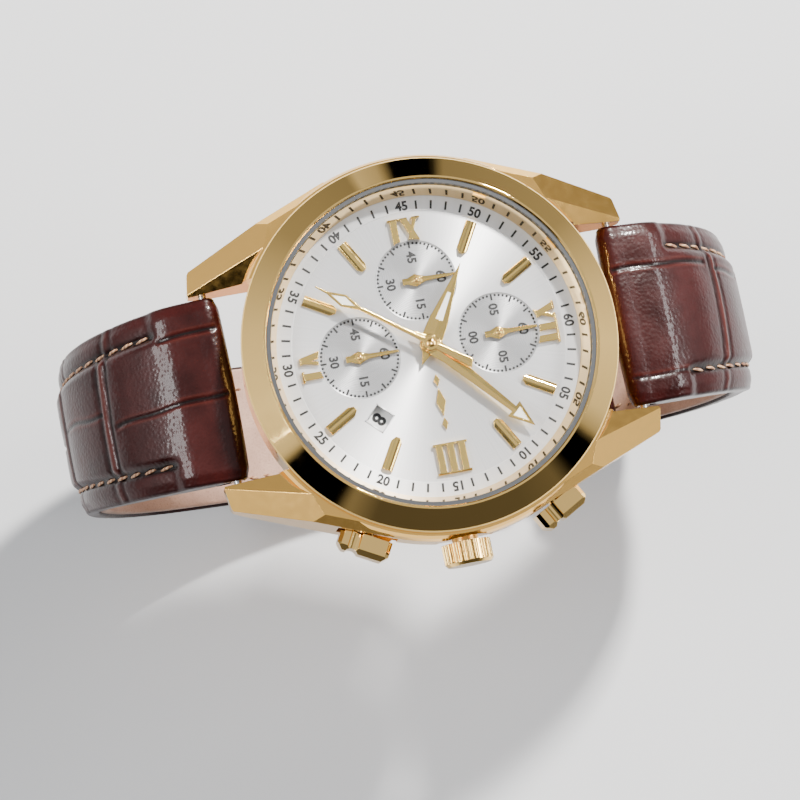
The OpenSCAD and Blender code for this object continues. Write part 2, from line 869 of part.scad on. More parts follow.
module stators() {
    color("gray") for (side = [-1, 1]) {
        at_coil(side) {
            rotate([0, 90, 0]) translate([0, 0, -4.4]) cylinder(r = 0.38, h = 8.8);
            for (x = [-4.4, 3.5]) box([x, -0.9, 0.3], [x + 0.9, 0.9, 1.3]);
        }
        difference() {
            translate([0, 0, 3.66]) linear_extrude(0.3) mirror([0, side > 0 ? 0 : 1]) polygon([
                [2.5, 4.2], [4.6, 3.7], [5.4, 5.6], [12.2, 6.1], [12, 7.4], [5.6, 7.2],
                [6.6, 12.2], [5.2, 12.9], [2.9, 6.5]
            ]);
            translate([rotor_reach[0], side * rotor_reach[1], 0]) disc(1, 0, far);
            translate([battery_at[0], battery_at[1], 0]) disc(battery_r + 0.2, 0, far);
        }
    }
}

module rotor(side) {
    color("darkslategray") translate([rotor_reach[0], side * rotor_reach[1], 0]) {
        disc(0.75, 3.5, 4.1);
        disc(0.18, 2.6, 4.6);
    }
}

module time_rotor() {
    rotor(-1);
}

module chrono_rotor() {
    rotor(1);
}

// Pivot of the setting lever
lever_x = 12.55;
lever_y = 3.4;

module setting_lever() {
    color("silver") {
        translate([0, 0, plate_top + 0.05]) linear_extrude(0.25) polygon([
            [12.1, -0.5], [13, -0.5], [13.3, 3.6], [lever_x, 4.1], [11.9, 3.6]
        ]);
        translate([lever_x, 0, 0]) disc(0.16, control_z + 0.36, plate_top + 0.1);
        translate([lever_x, lever_y, 0]) disc(0.24, plate_top - 0.4, plate_top + 0.45);
    }
}

module switch_springs() {
    color("lightsteelblue") for (side = [-1, 1]) at_pusher(side)
        box([14.5, -1.6, 4.5], [14.65, 1.6, 5.9]);
}

// ---------------------------------------------------------------- strap

// Point of the loop at distance s from the spring bar and offset n outward
function loop_point(s, n) =
    s <= side_len ? side_c + (side_r + n) * [cos(start_angle - s / side_r * deg),
        sin(start_angle - s / side_r * deg)]
    : s <= side_len + corner_len ? corner_c + (corner_r + n) * [
        cos(-(s - side_len) / corner_r * deg), sin(-(s - side_len) / corner_r * deg)]
    : back_c + (back_arc_r + n) * [
        cos(corner_angle - (s - side_len - corner_len) / back_arc_r * deg),
        sin(corner_angle - (s - side_len - corner_len) / back_arc_r * deg)];

// The same for the long half, which starts at the 6 o'clock spring bar
function long_point(s, n) = s <= half_loop
    ? [-loop_point(s, n)[0], loop_point(s, n)[1]]
    : loop_point(2 * half_loop - s, n);

// Straight blend from a to b as s goes from s0 to s1
function blend(s, s0, s1, a, b) = a + (b - a) * min(1, max(0, (s - s0) / (s1 - s0)));

function strap_thick(s, back) = s < 4
    ? blend(s, 1, 4, 2 * wrap_r, strap_t)
    : blend(s, 6, side_len + corner_len, strap_t, back);

function tail_offset(s) = blend(s, ramp_from, ramp_to, 0, tail_lift);

// Places along the strap on one shared grid, so that layers meet on the same lines
function steps(from, to) = concat(
    [from],
    [for (s = [ceil((from + 0.3) / strap_step) * strap_step:strap_step:to - 0.3]) s],
    [to]
);

// Extrudes a YZ outline along X to a width, centred
module across(w) {
    translate([-w / 2, 0, 0]) rotate([90, 0, 90]) linear_extrude(w) children();
}

// The strap's taper, seen along Y: widest at the lugs and narrowest at the back
module taper() {
    back_z = back_c[1] - back_arc_r;
    levels = [
        [strap_w, far], [strap_w, bar_height], [strap_w_side, side_c[1]], [strap_w_back, back_z - 6]
    ];
    rotate([90, 0, 0]) translate([0, 0, -far]) linear_extrude(2 * far) polygon(concat(
        [for (level = levels) [level[0] / 2, level[1]]],
        [for (i = [len(levels) - 1:-1:0]) [-levels[i][0] / 2, levels[i][1]]]
    ));
}

// Layers as outlines between two thickness curves
module short_outline(from, to, inner_layer) {
    list = steps(from, to);
    polygon(concat(
        [for (s = list) let (t = strap_thick(s, strap_t_back))
            loop_point(s, inner_layer ? lining_t - t / 2 : t / 2)],
        [for (i = [len(list) - 1:-1:0]) let (s = list[i], t = strap_thick(s, strap_t_back))
            loop_point(s, inner_layer ? -t / 2 : lining_t - t / 2)]
    ));
}

module long_outline(from, to, inner_layer) {
    list = steps(from, to);
    polygon(concat(
        [for (s = list) let (t = strap_thick(s, tail_t), n = tail_offset(s))
            long_point(s, n + (inner_layer ? lining_t - t / 2 : t / 2))],
        [for (i = [len(list) - 1:-1:0]) let (s = list[i], t = strap_thick(s, tail_t),
                n = tail_offset(s))
            long_point(s, n + (inner_layer ? -t / 2 : lining_t - t / 2))]
    ));
}

lining_from = 3;
short_end = buckle_at - 1;
long_end = half_loop + tail_reach;
tongue_w = 1.6;

// Folded end of the strap round a bar at a point of the YZ plane
module fold_ring(at, r) {
    translate(at) circle(r = r);
}

// Turned-in flap that joins the fold to the layers
module lug_fold(upper, lower) {
    polygon(concat(upper, lower));
}

buckle_pos = loop_point(buckle_at, 0);

module strap_short_leather() {
    bar = loop_point(0, 0);
    color("saddlebrown") intersection() {
        taper();
        difference() {
            union() {
                across(strap_w) short_outline(0.6, short_end, false);
                across(strap_w) lug_fold([for (s = [0.6, 3]) loop_point(s, lining_t - wrap_r)],
                    [for (s = [3, 0.6]) loop_point(s, -wrap_r)]);
                across(strap_w) fold_ring(bar, wrap_r);
                across(strap_w) fold_ring(buckle_pos, strap_t_back / 2);
            }
            across(strap_w + 2) fold_ring(bar, 0.8);
            across(strap_w + 2) fold_ring(buckle_pos, 0.65);
            // Notch for the tongue's eye
            translate([-1.1, buckle_pos[0] - 2.2, buckle_pos[1] - 3]) cube([2.2, 4.6, 6]);
        }
    }
}

module strap_short_lining() {
    color("rosybrown") intersection() {
        taper();
        across(strap_w) short_outline(lining_from, short_end - 1.5, true);
    }
}

// Slot that the tongue passes through, and the row of spare holes
module tail_holes() {
    slot = [79.5, 87.3];
    hole_list = [for (i = [0:3]) 93.5 + 6 * i];
    across(2.2) polygon([
        long_point(slot[0], -3), long_point(slot[0], 6), long_point(slot[1], 6),
        long_point(slot[1], -3)
    ]);
    for (s = concat([70, 76], hole_list)) let (a = long_point(s, -4), b = long_point(s, 8))
        translate([0, a[0], a[1]]) rotate([-90 + atan2(b[1] - a[1], b[0] - a[0]), 0, 0])
            cylinder(r = 0.9, h = 12);
}

// Rounded end of the tail: a drum across the strap at the last curve
module tail_tip() {
    centre = long_point(long_end - strap_w_back / 2 - 0.4, 0);
    out = long_point(long_end - strap_w_back / 2 - 0.4, 1) - centre;
    translate([0, centre[0], centre[1]]) rotate([-90 + atan2(out[1], out[0]), 0, 0])
        translate([0, 0, -8]) cylinder(r = strap_w_back / 2 + 0.4, h = 20);
}

module long_half(inner_layer) {
    split = long_end - strap_w_back / 2;
    start = inner_layer ? lining_from : 0.6;
    difference() {
        intersection() {
            taper();
            union() {
                across(strap_w) long_outline(start, split, inner_layer);
                intersection() {
                    across(strap_w) long_outline(split, long_end, inner_layer);
                    tail_tip();
                }
            }
        }
        tail_holes();
    }
}

module strap_long_leather() {
    bar = long_point(0, 0);
    color("saddlebrown") {
        difference() {
            union() {
                long_half(false);
                across(strap_w) fold_ring(bar, wrap_r);
                across(strap_w) lug_fold([for (s = [0.6, 3]) long_point(s, lining_t - wrap_r)],
                    [for (s = [3, 0.6]) long_point(s, -wrap_r)]);
            }
            across(strap_w + 2) fold_ring(bar, 0.8);
        }
    }
}

module strap_long_lining() {
    color("rosybrown") long_half(true);
}

// Leather ring round both layers of the strap between two places on the back arc
module keeper(from, to, gap) {
    t = 1.1;
    inner_n = -strap_t_back / 2 - gap;
    outer_n = tail_lift + tail_t / 2 + gap;
    half_w = strap_w_back / 2 + 0.35 + gap;
    function band(n_low, n_high, ext) = concat(
        [for (i = [0:4]) loop_point(from - ext + (to - from + 2 * ext) * i / 4, n_high)],
        [for (i = [4:-1:0]) loop_point(from - ext + (to - from + 2 * ext) * i / 4, n_low)]
    );
    color("saddlebrown") difference() {
        across(2 * (half_w + t)) polygon(band(inner_n - t, outer_n + t, 0));
        across(2 * half_w) polygon(band(inner_n, outer_n, 1));
    }
}

module keeper_fixed() {
    keeper(61, 66, 0.05);
}

module keeper_floating() {
    keeper(50.5, 55.5, 0.3);
}

// ---------------------------------------------------------------- buckle and bars

crossbar_pos = long_point(crossbar_at,
    tail_offset(crossbar_at) + tail_t / 2 + 0.3 + crossbar_r);
frame_inner = strap_w_back / 2 + 0.5;
frame_outer = frame_inner + 1.45;

// Straight bar outline between two points of the YZ plane
module bar_outline(a, b, w) {
    side = w / 2 * [-(b - a)[1], (b - a)[0]] / norm(b - a);
    polygon([a + side, b + side, b - side, a - side]);
}

module buckle_frame() {
    color("gold") {
        across(2 * frame_outer) fold_ring(crossbar_pos, crossbar_r);
        difference() {
            union() {
                across(2 * frame_outer) bar_outline(crossbar_pos, buckle_pos, 1.6);
                across(2 * frame_outer) fold_ring(buckle_pos, 1.2);
            }
            across(2 * frame_inner) bar_outline(crossbar_pos + [-3, 0], buckle_pos + [3, 0], 9);
            across(2 * frame_outer - 1) fold_ring(buckle_pos, 0.4);
        }
    }
}

module buckle_bar() {
    color("silver") {
        across(2 * frame_inner - 0.6) fold_ring(buckle_pos, 0.6);
        across(2 * frame_outer - 1.1) fold_ring(buckle_pos, 0.38);
    }
}

module buckle_tongue() {
    eye_r = 1.15;
    rest = crossbar_pos + [-1, -crossbar_r - 0.95];
    color("gold") difference() {
        union() {
            across(tongue_w) fold_ring(buckle_pos, eye_r);
            across(tongue_w) bar_outline(buckle_pos + [0, -0.4], rest, 0.9);
        }
        across(tongue_w + 2) fold_ring(buckle_pos, 0.66);
    }
}

module spring_bars() {
    color("silver") for (side = [-1, 1])
        translate([0, side * bar_reach, bar_height]) rotate([0, 90, 0]) {
            translate([0, 0, -strap_w / 2]) cylinder(r = 0.75, h = strap_w);
            translate([0, 0, -12.4]) cylinder(r = 0.45, h = 24.8);
        }
}

case_body();
bezel();
crystal();
crystal_gasket();
rehaut_ring();
case_back();
case_back_gasket();
case_back_screws();
crown_tube();
pusher_tubes();
crown();
crown_gasket();
winding_stem();
clutch_wheel();
pusher_start();
pusher_reset();
pusher_spring_start();
pusher_spring_reset();
dial();
dial_indices();
dial_numerals();
dial_ornament();
date_disc();
hour_hand();
minute_hand();
chrono_seconds_hand();
small_seconds_hand();
chrono_minute_hand();
chrono_counter_hand();
hour_lume();
minute_lume();
seconds_lume();
main_plate();
movement_ring();
train_bridge();
circuit_board();
quartz_can();
control_chip();
battery();
battery_clamp();
drive_coils();
stators();
time_rotor();
chrono_rotor();
cannon_pinion();
hour_wheel();
minute_wheel();
setting_lever();
switch_springs();
movement_screws();
strap_short_leather();
strap_short_lining();
strap_long_leather();
strap_long_lining();
keeper_fixed();
keeper_floating();
buckle_frame();
buckle_tongue();
buckle_bar();
spring_bars();
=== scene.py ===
import math

import bpy
import numpy as np
from mathutils import Matrix, Vector


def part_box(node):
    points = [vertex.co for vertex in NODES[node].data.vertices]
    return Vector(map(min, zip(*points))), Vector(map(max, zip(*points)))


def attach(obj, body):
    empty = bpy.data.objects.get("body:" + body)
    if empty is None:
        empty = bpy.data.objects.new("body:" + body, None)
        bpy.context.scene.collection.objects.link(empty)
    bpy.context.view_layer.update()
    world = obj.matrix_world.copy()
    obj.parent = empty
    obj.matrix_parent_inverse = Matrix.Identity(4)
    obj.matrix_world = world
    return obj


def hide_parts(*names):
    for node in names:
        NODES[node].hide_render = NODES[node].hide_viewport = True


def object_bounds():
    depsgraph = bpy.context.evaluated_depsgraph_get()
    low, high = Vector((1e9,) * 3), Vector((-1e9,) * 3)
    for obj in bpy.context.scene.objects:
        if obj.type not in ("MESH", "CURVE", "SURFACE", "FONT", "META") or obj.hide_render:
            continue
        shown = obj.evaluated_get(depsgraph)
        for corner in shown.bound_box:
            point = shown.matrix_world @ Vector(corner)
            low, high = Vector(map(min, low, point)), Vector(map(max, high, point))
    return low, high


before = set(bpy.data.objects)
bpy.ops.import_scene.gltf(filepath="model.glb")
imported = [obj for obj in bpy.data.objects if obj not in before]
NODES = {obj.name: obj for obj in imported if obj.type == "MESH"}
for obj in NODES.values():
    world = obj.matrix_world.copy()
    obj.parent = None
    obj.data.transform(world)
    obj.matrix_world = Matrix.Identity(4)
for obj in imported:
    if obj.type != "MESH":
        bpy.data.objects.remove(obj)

cad_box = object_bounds()
MM = 0.001
CASE = "case"


def extent(node):
    """Lowest and highest corner of a CAD node, in millimetres."""
    low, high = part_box(node)
    return np.array(low) / MM, np.array(high) / MM


# The dial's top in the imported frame, and the small dials and date window as part.scad places them (mm)
DIAL_TOP = extent("dial")[1][2]
REGISTER_SINK = 0.15
REGISTER_R = 4.66
REGISTER_AT = {
    "nine": (-7.57, 0.0),
    "twelve": (0.0, 8.05),
    "six": (0.0, -8.05),
}
DATE_R = 10.1
DATE_ANGLE = math.radians(-45)


# ---------------------------------------------------------------- node helpers

def node_maker(tree):
    """A helper that adds a node, with its settings and its inputs as values or sockets to link.

    An input is named as on the node, with _ for each space, or i and its number.
    """
    def node(kind, settings=None, **inputs):
        made = tree.nodes.new(kind)
        for key, value in (settings or {}).items():
            setattr(made, key, value)
        for key, value in inputs.items():
            numbered = key[0] == "i" and key[1:].isdigit()
            socket = made.inputs[int(key[1:]) if numbered else key.replace("_", " ")]
            if isinstance(value, bpy.types.NodeSocket):
                tree.links.new(value, socket)
            else:
                socket.default_value = value
        return made

    return node


def new_material(name):
    """A material with its Principled shader and helpers that add nodes and links to it."""
    material = bpy.data.materials.new(name)
    material.use_nodes = True
    tree = material.node_tree
    return material, tree.nodes["Principled BSDF"], node_maker(tree), tree.links.new


def set_sockets(shader, **values):
    """Sets constants on the shader's own sockets, with _ for each space in a name."""
    for key, value in values.items():
        shader.inputs[key.replace("_", " ")].default_value = value


def maths(node, operation, *values):
    """The result of one Math node."""
    inputs = {f"i{place}": value for place, value in enumerate(values)}
    return node("ShaderNodeMath", {"operation": operation}, **inputs).outputs[0]


def mapped(node, value, low, high, from_low=0.0, from_high=1.0):
    """A value remapped to a range."""
    return node("ShaderNodeMapRange", Value=value, From_Min=from_low, From_Max=from_high,
                To_Min=low, To_Max=high).outputs["Result"]


def mixed(node, factor, a, b):
    """Two colours mixed by a factor; each is a colour or a socket."""
    a, b = (c if isinstance(c, bpy.types.NodeSocket) else (*c, 1) for c in (a, b))
    return node("ShaderNodeMix", {"data_type": "RGBA"}, i0=factor, i6=a, i7=b).outputs[2]


def object_noise(node, size_mm, detail=3.0, roughness=0.55, stretch=None):
    """Noise on the object's own coordinates, with features of about size_mm."""
    coords = node("ShaderNodeTexCoord").outputs["Object"]
    if stretch is not None:
        coords = node("ShaderNodeMapping", Vector=coords, Scale=stretch).outputs["Vector"]
    return node("ShaderNodeTexNoise", Vector=coords, Scale=1 / (size_mm * MM), Detail=detail,
                Roughness=roughness).outputs["Fac"]


def bumped(node, link, shader, height, distance_mm, strength, normal=None):
    """Fine relief on the shader's normal, over another normal where one is given."""
    bump = node("ShaderNodeBump", Height=height, Distance=distance_mm * MM, Strength=strength)
    if normal is not None:
        link(normal, bump.inputs["Normal"])
    link(bump.outputs["Normal"], shader.inputs["Normal"])


# ---------------------------------------------------------------- materials

def metal(name, color, rough_low, rough_high, wave_mm=6.0, grain_mm=0.25, grain=0.04,
          edge_mm=0.06):
    """Plated or bare metal: softly rounded edges, uneven polish and a faint grain."""
    material, shader, node, link = new_material(name)
    set_sockets(shader, Metallic=1.0)
    patches = object_noise(node, wave_mm)
    tone = tuple(c * 0.93 for c in color)
    link(mixed(node, patches, color, tone), shader.inputs["Base Color"])
    link(mapped(node, object_noise(node, grain_mm * 4, 4.0), rough_low, rough_high, 0.3, 0.7),
         shader.inputs["Roughness"])
    normal = None
    if edge_mm:
        normal = node("ShaderNodeBevel", {"samples": 4}, Radius=edge_mm * MM).outputs["Normal"]
    bumped(node, link, shader, object_noise(node, grain_mm, 2.0), 0.01, grain, normal)
    return material


def brushed(name, color, rough_low, rough_high, stretch, grain_mm=0.06):
    """Satin metal with straight brush lines along the axis of the smallest stretch."""
    material, shader, node, link = new_material(name)
    set_sockets(shader, Metallic=1.0)
    lines = object_noise(node, grain_mm, 3.0, 0.6, stretch)
    link(mixed(node, lines, color, tuple(c * 0.8 for c in color)), shader.inputs["Base Color"])
    link(mapped(node, lines, rough_low, rough_high), shader.inputs["Roughness"])
    bumped(node, link, shader, lines, 0.01, 0.15)
    return material


def plastic(name, color, rough=0.5, grain_mm=0.2, grain=0.15, fleck=0.85):
    """Moulded plastic, rubber, paint or lacquer with a fine grain."""
    material, shader, node, link = new_material(name)
    grains = object_noise(node, grain_mm, 4.0)
    link(mixed(node, grains, color, tuple(c * fleck for c in color)), shader.inputs["Base Color"])
    link(mapped(node, grains, rough * 0.85, min(1.0, rough * 1.15)), shader.inputs["Roughness"])
    bumped(node, link, shader, grains, 0.01, grain)
    return material


def crystal_glass():
    """Clear mineral glass: what it reflects grows with the angle, the rest passes through."""
    material, shader, node, link = new_material("crystal_glass")
    set_sockets(shader, Metallic=1.0, Roughness=0.02, Base_Color=(0.95, 0.98, 1.0, 1.0))
    facing = node("ShaderNodeLayerWeight", Blend=0.5).outputs["Facing"]
    smears = mapped(node, object_noise(node, 9.0, 2.0), 0.65, 0.8)
    alpha = maths(node, "MULTIPLY_ADD", maths(node, "POWER", facing, 5.0), smears, 0.012)
    link(alpha, shader.inputs["Alpha"])
    return material


def angle_round(node):
    """Angle round the watch's Z axis."""
    coords = node("ShaderNodeTexCoord").outputs["Object"]
    parts = node("ShaderNodeSeparateXYZ", Vector=coords)
    return maths(node, "ARCTAN2", parts.outputs[0], parts.outputs[1])


def sunburst(name, color, rough, streaks, metallic=0.9):
    """Silvered dial finish: fine lines run out from the centre and catch the light in sectors."""
    material, shader, node, link = new_material(name)
    set_sockets(shader, Metallic=metallic, Roughness=rough, Anisotropic=0.85,
                Anisotropic_Rotation=0.25)
    tangent = node("ShaderNodeTangent", {"direction_type": "RADIAL", "axis": "Z"})
    link(tangent.outputs["Tangent"], shader.inputs["Tangent"])
    lines = node("ShaderNodeTexNoise", {"noise_dimensions": "1D"}, W=angle_round(node),
                 Scale=streaks, Detail=4.0)
    link(mixed(node, lines.outputs["Fac"], color, tuple(c * 0.86 for c in color)),
         shader.inputs["Base Color"])
    bumped(node, link, shader, lines.outputs["Fac"], 0.004, 0.12)
    return material


def croc_leather():
    """Glossy lacquered leather; the mesh's `shade` paints shade into its creases, grooves and holes, a
    highlight onto its ridges, and carries the darker tone of its painted edge.
    """
    material, shader, node, link = new_material("croc_leather")
    set_sockets(shader, Coat_Weight=0.22, Coat_Roughness=0.12, Specular_IOR_Level=0.18)
    shade = node("ShaderNodeAttribute", {"attribute_name": "shade"}).outputs["Fac"]
    clouds = object_noise(node, 5.0, 5.0, 0.6)
    base = mixed(node, mapped(node, clouds, 0.0, 1.0, 0.3, 0.72),
                 (0.013, 0.0011, 0.0009), (0.034, 0.0031, 0.0025))
    # painted shade: positive `shade` darkens creases, grooves and holes toward near-black; the edge
    # paint's darker tone uses the same value
    painted_shade_and_edge_paint = mapped(node, shade, 0.0, 1.0, 0.02, 0.6)
    base_with_painted_shade_and_edge_paint = mixed(node, painted_shade_and_edge_paint, base, (0.003, 0.0005, 0.0004))
    # painted highlight: negative `shade` lightens the ridges toward a pinkish copper
    painted_ridge_highlight = mapped(node, shade, 0.0, 0.55, -0.02, -0.5)
    link(mixed(node, painted_ridge_highlight, base_with_painted_shade_and_edge_paint, (0.10, 0.018, 0.011)), shader.inputs["Base Color"])
    pebble = node("ShaderNodeTexVoronoi", {"feature": "SMOOTH_F1"},
                  Vector=node("ShaderNodeTexCoord").outputs["Object"], Scale=1 / (0.42 * MM),
                  Smoothness=0.6)
    pores = object_noise(node, 0.16, 3.0)
    link(mapped(node, clouds, 0.28, 0.42, 0.3, 0.7), shader.inputs["Roughness"])
    first = node("ShaderNodeBump", {"invert": True}, Height=pebble.outputs["Distance"],
                 Distance=0.05 * MM, Strength=0.55)
    bumped(node, link, shader, pores, 0.02, 0.4, first.outputs["Normal"])
    link(first.outputs["Normal"], shader.inputs["Coat Normal"])
    return material


def soft_leather():
    """Matte lining leather with small pores and uneven tan."""
    material, shader, node, link = new_material("lining_leather")
    set_sockets(shader, Sheen_Weight=0.15, Sheen_Roughness=0.5)
    clouds = object_noise(node, 3.5, 5.0, 0.6)
    pores = object_noise(node, 0.22, 3.0, 0.6)
    tan = mixed(node, mapped(node, clouds, 0.0, 1.0, 0.3, 0.7),
                (0.50, 0.315, 0.235), (0.37, 0.22, 0.165))
    link(mixed(node, mapped(node, pores, 0.0, 0.5, 0.5, 0.75), tan, (0.2, 0.11, 0.08)),
         shader.inputs["Base Color"])
    link(mapped(node, pores, 0.55, 0.8), shader.inputs["Roughness"])
    bumped(node, link, shader, pores, 0.05, 0.35)
    return material


def thread():
    """Waxed sewing thread with its twist."""
    material, shader, node, link = new_material("thread")
    coords = node("ShaderNodeTexCoord").outputs["Object"]
    twist = node("ShaderNodeTexWave", {"bands_direction": "DIAGONAL"}, Vector=coords, Scale=900.0,
                 Distortion=1.5)
    link(mixed(node, twist.outputs["Fac"], (0.5, 0.3, 0.17), (0.22, 0.10, 0.06)),
         shader.inputs["Base Color"])
    link(mapped(node, twist.outputs["Fac"], 0.45, 0.7), shader.inputs["Roughness"])
    bumped(node, link, shader, twist.outputs["Fac"], 0.04, 0.5)
    return material


def perlage():
    """Nickel plate with overlapping grained circles, as movement plates are finished."""
    material, shader, node, link = new_material("plate_nickel")
    set_sockets(shader, Metallic=1.0)
    cells = node("ShaderNodeTexVoronoi", Vector=node("ShaderNodeTexCoord").outputs["Object"],
                 Scale=1 / (1.1 * MM), Randomness=0.15)
    circles = maths(node, "SINE", mapped(node, cells.outputs["Distance"], 0.0, 40.0))
    link(mapped(node, circles, 0.22, 0.4, -1.0, 1.0), shader.inputs["Roughness"])
    link(mixed(node, cells.outputs["Distance"], (0.72, 0.71, 0.7), (0.56, 0.56, 0.57)),
         shader.inputs["Base Color"])
    bumped(node, link, shader, circles, 0.006, 0.3)
    return material


def copper_winding():
    """Enamelled wire wound in close turns along the coil."""
    material, shader, node, link = new_material("coil_copper")
    set_sockets(shader, Metallic=1.0)
    coords = node("ShaderNodeTexCoord").outputs["Object"]
    turns = node("ShaderNodeTexWave", {"bands_direction": "DIAGONAL", "wave_profile": "SAW"},
                 Vector=coords, Scale=1200.0)
    link(mixed(node, turns.outputs["Fac"], (0.72, 0.3, 0.13), (0.4, 0.13, 0.05)),
         shader.inputs["Base Color"])
    link(mapped(node, turns.outputs["Fac"], 0.2, 0.42), shader.inputs["Roughness"])
    bumped(node, link, shader, turns.outputs["Fac"], 0.03, 0.6)
    return material


FINISH = {
    "gold_polished": metal("gold_polished", (1.0, 0.66, 0.22), 0.03, 0.06),
    "gold_case": metal("gold_case", (0.97, 0.57, 0.15), 0.1, 0.18, wave_mm=9.0, grain=0.06),
    "gold_fine": metal("gold_fine", (1.0, 0.70, 0.21), 0.08, 0.15, wave_mm=2.0, edge_mm=0.13),
    "gold_mirror": metal("gold_mirror", (1.0, 0.72, 0.36), 0.03, 0.07, edge_mm=0),
    "gold_brushed": brushed("gold_brushed", (0.86, 0.52, 0.16), 0.25, 0.42, (1.0, 0.02, 1.0)),
    "crystal_glass": crystal_glass(),
    "gasket_rubber": plastic("gasket_rubber", (0.30, 0.31, 0.32), 0.55, 0.1),
    "gasket_clear": plastic("gasket_clear", (0.05, 0.053, 0.058), 0.35, 0.3),
    "steel": brushed("steel", (0.66, 0.67, 0.69), 0.2, 0.35, (0.05, 1.0, 1.0)),
    "dial_silver": sunburst("dial_silver", (0.80, 0.805, 0.82), 0.32, 60.0, 0.55),
    "register_silver": sunburst("register_silver", (0.46, 0.465, 0.48), 0.42, 25.0, 0.5),
    "chapter_silver": sunburst("chapter_silver", (0.78, 0.785, 0.80), 0.4, 25.0, 0.5),
    "print_black": plastic("print_black", (0.006, 0.006, 0.007), 0.55, 0.1),
    "lume": plastic("lume", (0.86, 0.85, 0.76), 0.6, 0.08, 0.4, 0.93),
    "date_white": plastic("date_white", (0.95, 0.95, 0.94), 0.5, 0.3, 0.05, 0.97),
    "plate_nickel": perlage(),
    "ring_plastic": plastic("ring_plastic", (0.76, 0.76, 0.74), 0.45, 0.5),
    "board_green": plastic("board_green", (0.015, 0.10, 0.045), 0.3, 0.4, 0.1, 0.7),
    "chip_black": plastic("chip_black", (0.02, 0.02, 0.022), 0.5, 0.08, 0.4),
    "coil_copper": copper_winding(),
    "wheel_brass": metal("wheel_brass", (0.82, 0.62, 0.28), 0.18, 0.3, wave_mm=1.5, edge_mm=0.02),
    "croc": croc_leather(),
    "lining": soft_leather(),
    "thread": thread(),
}

LOOKS = {
    "gold_polished": ["bezel", "pusher_start", "pusher_reset", "crown", "buckle_frame",
                      "buckle_tongue"],
    "gold_case": ["case_body"],
    "gold_fine": ["dial_indices", "dial_numerals", "dial_ornament", "hour_hand", "minute_hand",
                  "chrono_seconds_hand", "small_seconds_hand", "chrono_minute_hand",
                  "chrono_counter_hand"],
    "gold_mirror": ["rehaut_ring"],
    "gold_brushed": ["case_back", "crown_tube", "pusher_tubes"],
    "crystal_glass": ["crystal"],
    "gasket_clear": ["crystal_gasket"],
    "gasket_rubber": ["case_back_gasket", "crown_gasket"],
    "steel": ["case_back_screws", "winding_stem", "clutch_wheel", "pusher_spring_start",
              "pusher_spring_reset", "setting_lever", "switch_springs", "movement_screws",
              "battery", "quartz_can", "stators", "buckle_bar", "spring_bars", "battery_clamp",
              "time_rotor", "chrono_rotor"],
    "dial_silver": ["dial"],
    "date_white": ["date_disc"],
    "lume": ["hour_lume", "minute_lume", "seconds_lume"],
    "plate_nickel": ["main_plate", "train_bridge"],
    "ring_plastic": ["movement_ring"],
    "board_green": ["circuit_board"],
    "chip_black": ["control_chip"],
    "coil_copper": ["drive_coils"],
    "wheel_brass": ["cannon_pinion", "hour_wheel", "minute_wheel"],
}


def dress_cad_nodes():
    """Gives every CAD node that stays visible its full material."""
    for look, names in LOOKS.items():
        for name in names:
            for held in NODES[name].material_slots:
                held.material = FINISH[look]


# ---------------------------------------------------------------- mesh helpers

def to_object(name, verts, faces, material, body, slot, shade=None, smooth=True):
    """Makes a mesh piece from millimetre points that rides on a body."""
    mesh = bpy.data.meshes.new(name)
    mesh.from_pydata((np.asarray(verts, float) * MM).tolist(), [], [list(f) for f in faces])
    if smooth:
        mesh.shade_smooth()
    if shade is not None:
        layer = mesh.attributes.new("shade", "FLOAT", "POINT")
        layer.data.foreach_set("value", np.asarray(shade, np.float32))
    mesh.materials.append(material)
    piece = bpy.data.objects.new(name, mesh)
    bpy.context.scene.collection.objects.link(piece)
    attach(piece, body)
    return piece


def merged(parts):
    """Several (points, faces) pairs as one."""
    verts, faces, start = [], [], 0
    for points, its_faces in parts:
        verts.append(np.asarray(points, float))
        faces += [[i + start for i in face] for face in its_faces]
        start += len(points)
    return np.concatenate(verts), faces


def tube_faces(rows, cols, capped=True):
    """Faces of a grid of closed rings, with a centre point at each capped end."""
    faces = []
    for r in range(rows - 1):
        a = r * cols
        for c in range(cols):
            d = (c + 1) % cols
            faces.append((a + c, a + d, a + cols + d, a + cols + c))
    if capped:
        low, high = rows * cols, rows * cols + 1
        last = (rows - 1) * cols
        for c in range(cols):
            d = (c + 1) % cols
            faces.append((low, d, c))
            faces.append((high, last + c, last + d))
    return faces


def capped_tube(rings):
    """Closed rings (rows, cols, 3) as points and faces with capped ends."""
    rings = np.asarray(rings, float)
    rows, cols = rings.shape[:2]
    ends = np.array([rings[0].mean(0), rings[-1].mean(0)])
    return np.concatenate([rings.reshape(-1, 3), ends]), tube_faces(rows, cols)


def prism(outline, low, high):
    """A flat outline between two heights."""
    outline = np.asarray(outline, float)
    count = len(outline)
    bottom = np.column_stack([outline, np.full(count, low)])
    top = np.column_stack([outline, np.full(count, high)])
    sides = [(i, (i + 1) % count, count + (i + 1) % count, count + i) for i in range(count)]
    faces = [tuple(range(count - 1, -1, -1)), tuple(range(count, 2 * count)), *sides]
    return np.concatenate([bottom, top]), faces


def lathe(profile, centre=(0.0, 0.0), steps=144):
    """A closed profile of (radius, height) points turned about an axis parallel to Z."""
    profile = np.asarray(profile, float)
    angle = np.linspace(0, 2 * math.pi, steps, endpoint=False)
    rings = np.stack([
        centre[0] + np.outer(np.cos(angle), profile[:, 0]),
        centre[1] + np.outer(np.sin(angle), profile[:, 0]),
        np.tile(profile[:, 1], (steps, 1)),
    ], axis=2)
    cols = len(profile)
    faces = []
    for r in range(steps):
        a, b = r * cols, (r + 1) % steps * cols
        for c in range(cols):
            d = (c + 1) % cols
            faces.append((a + c, b + c, b + d, a + d))
    return rings.reshape(-1, 3), faces


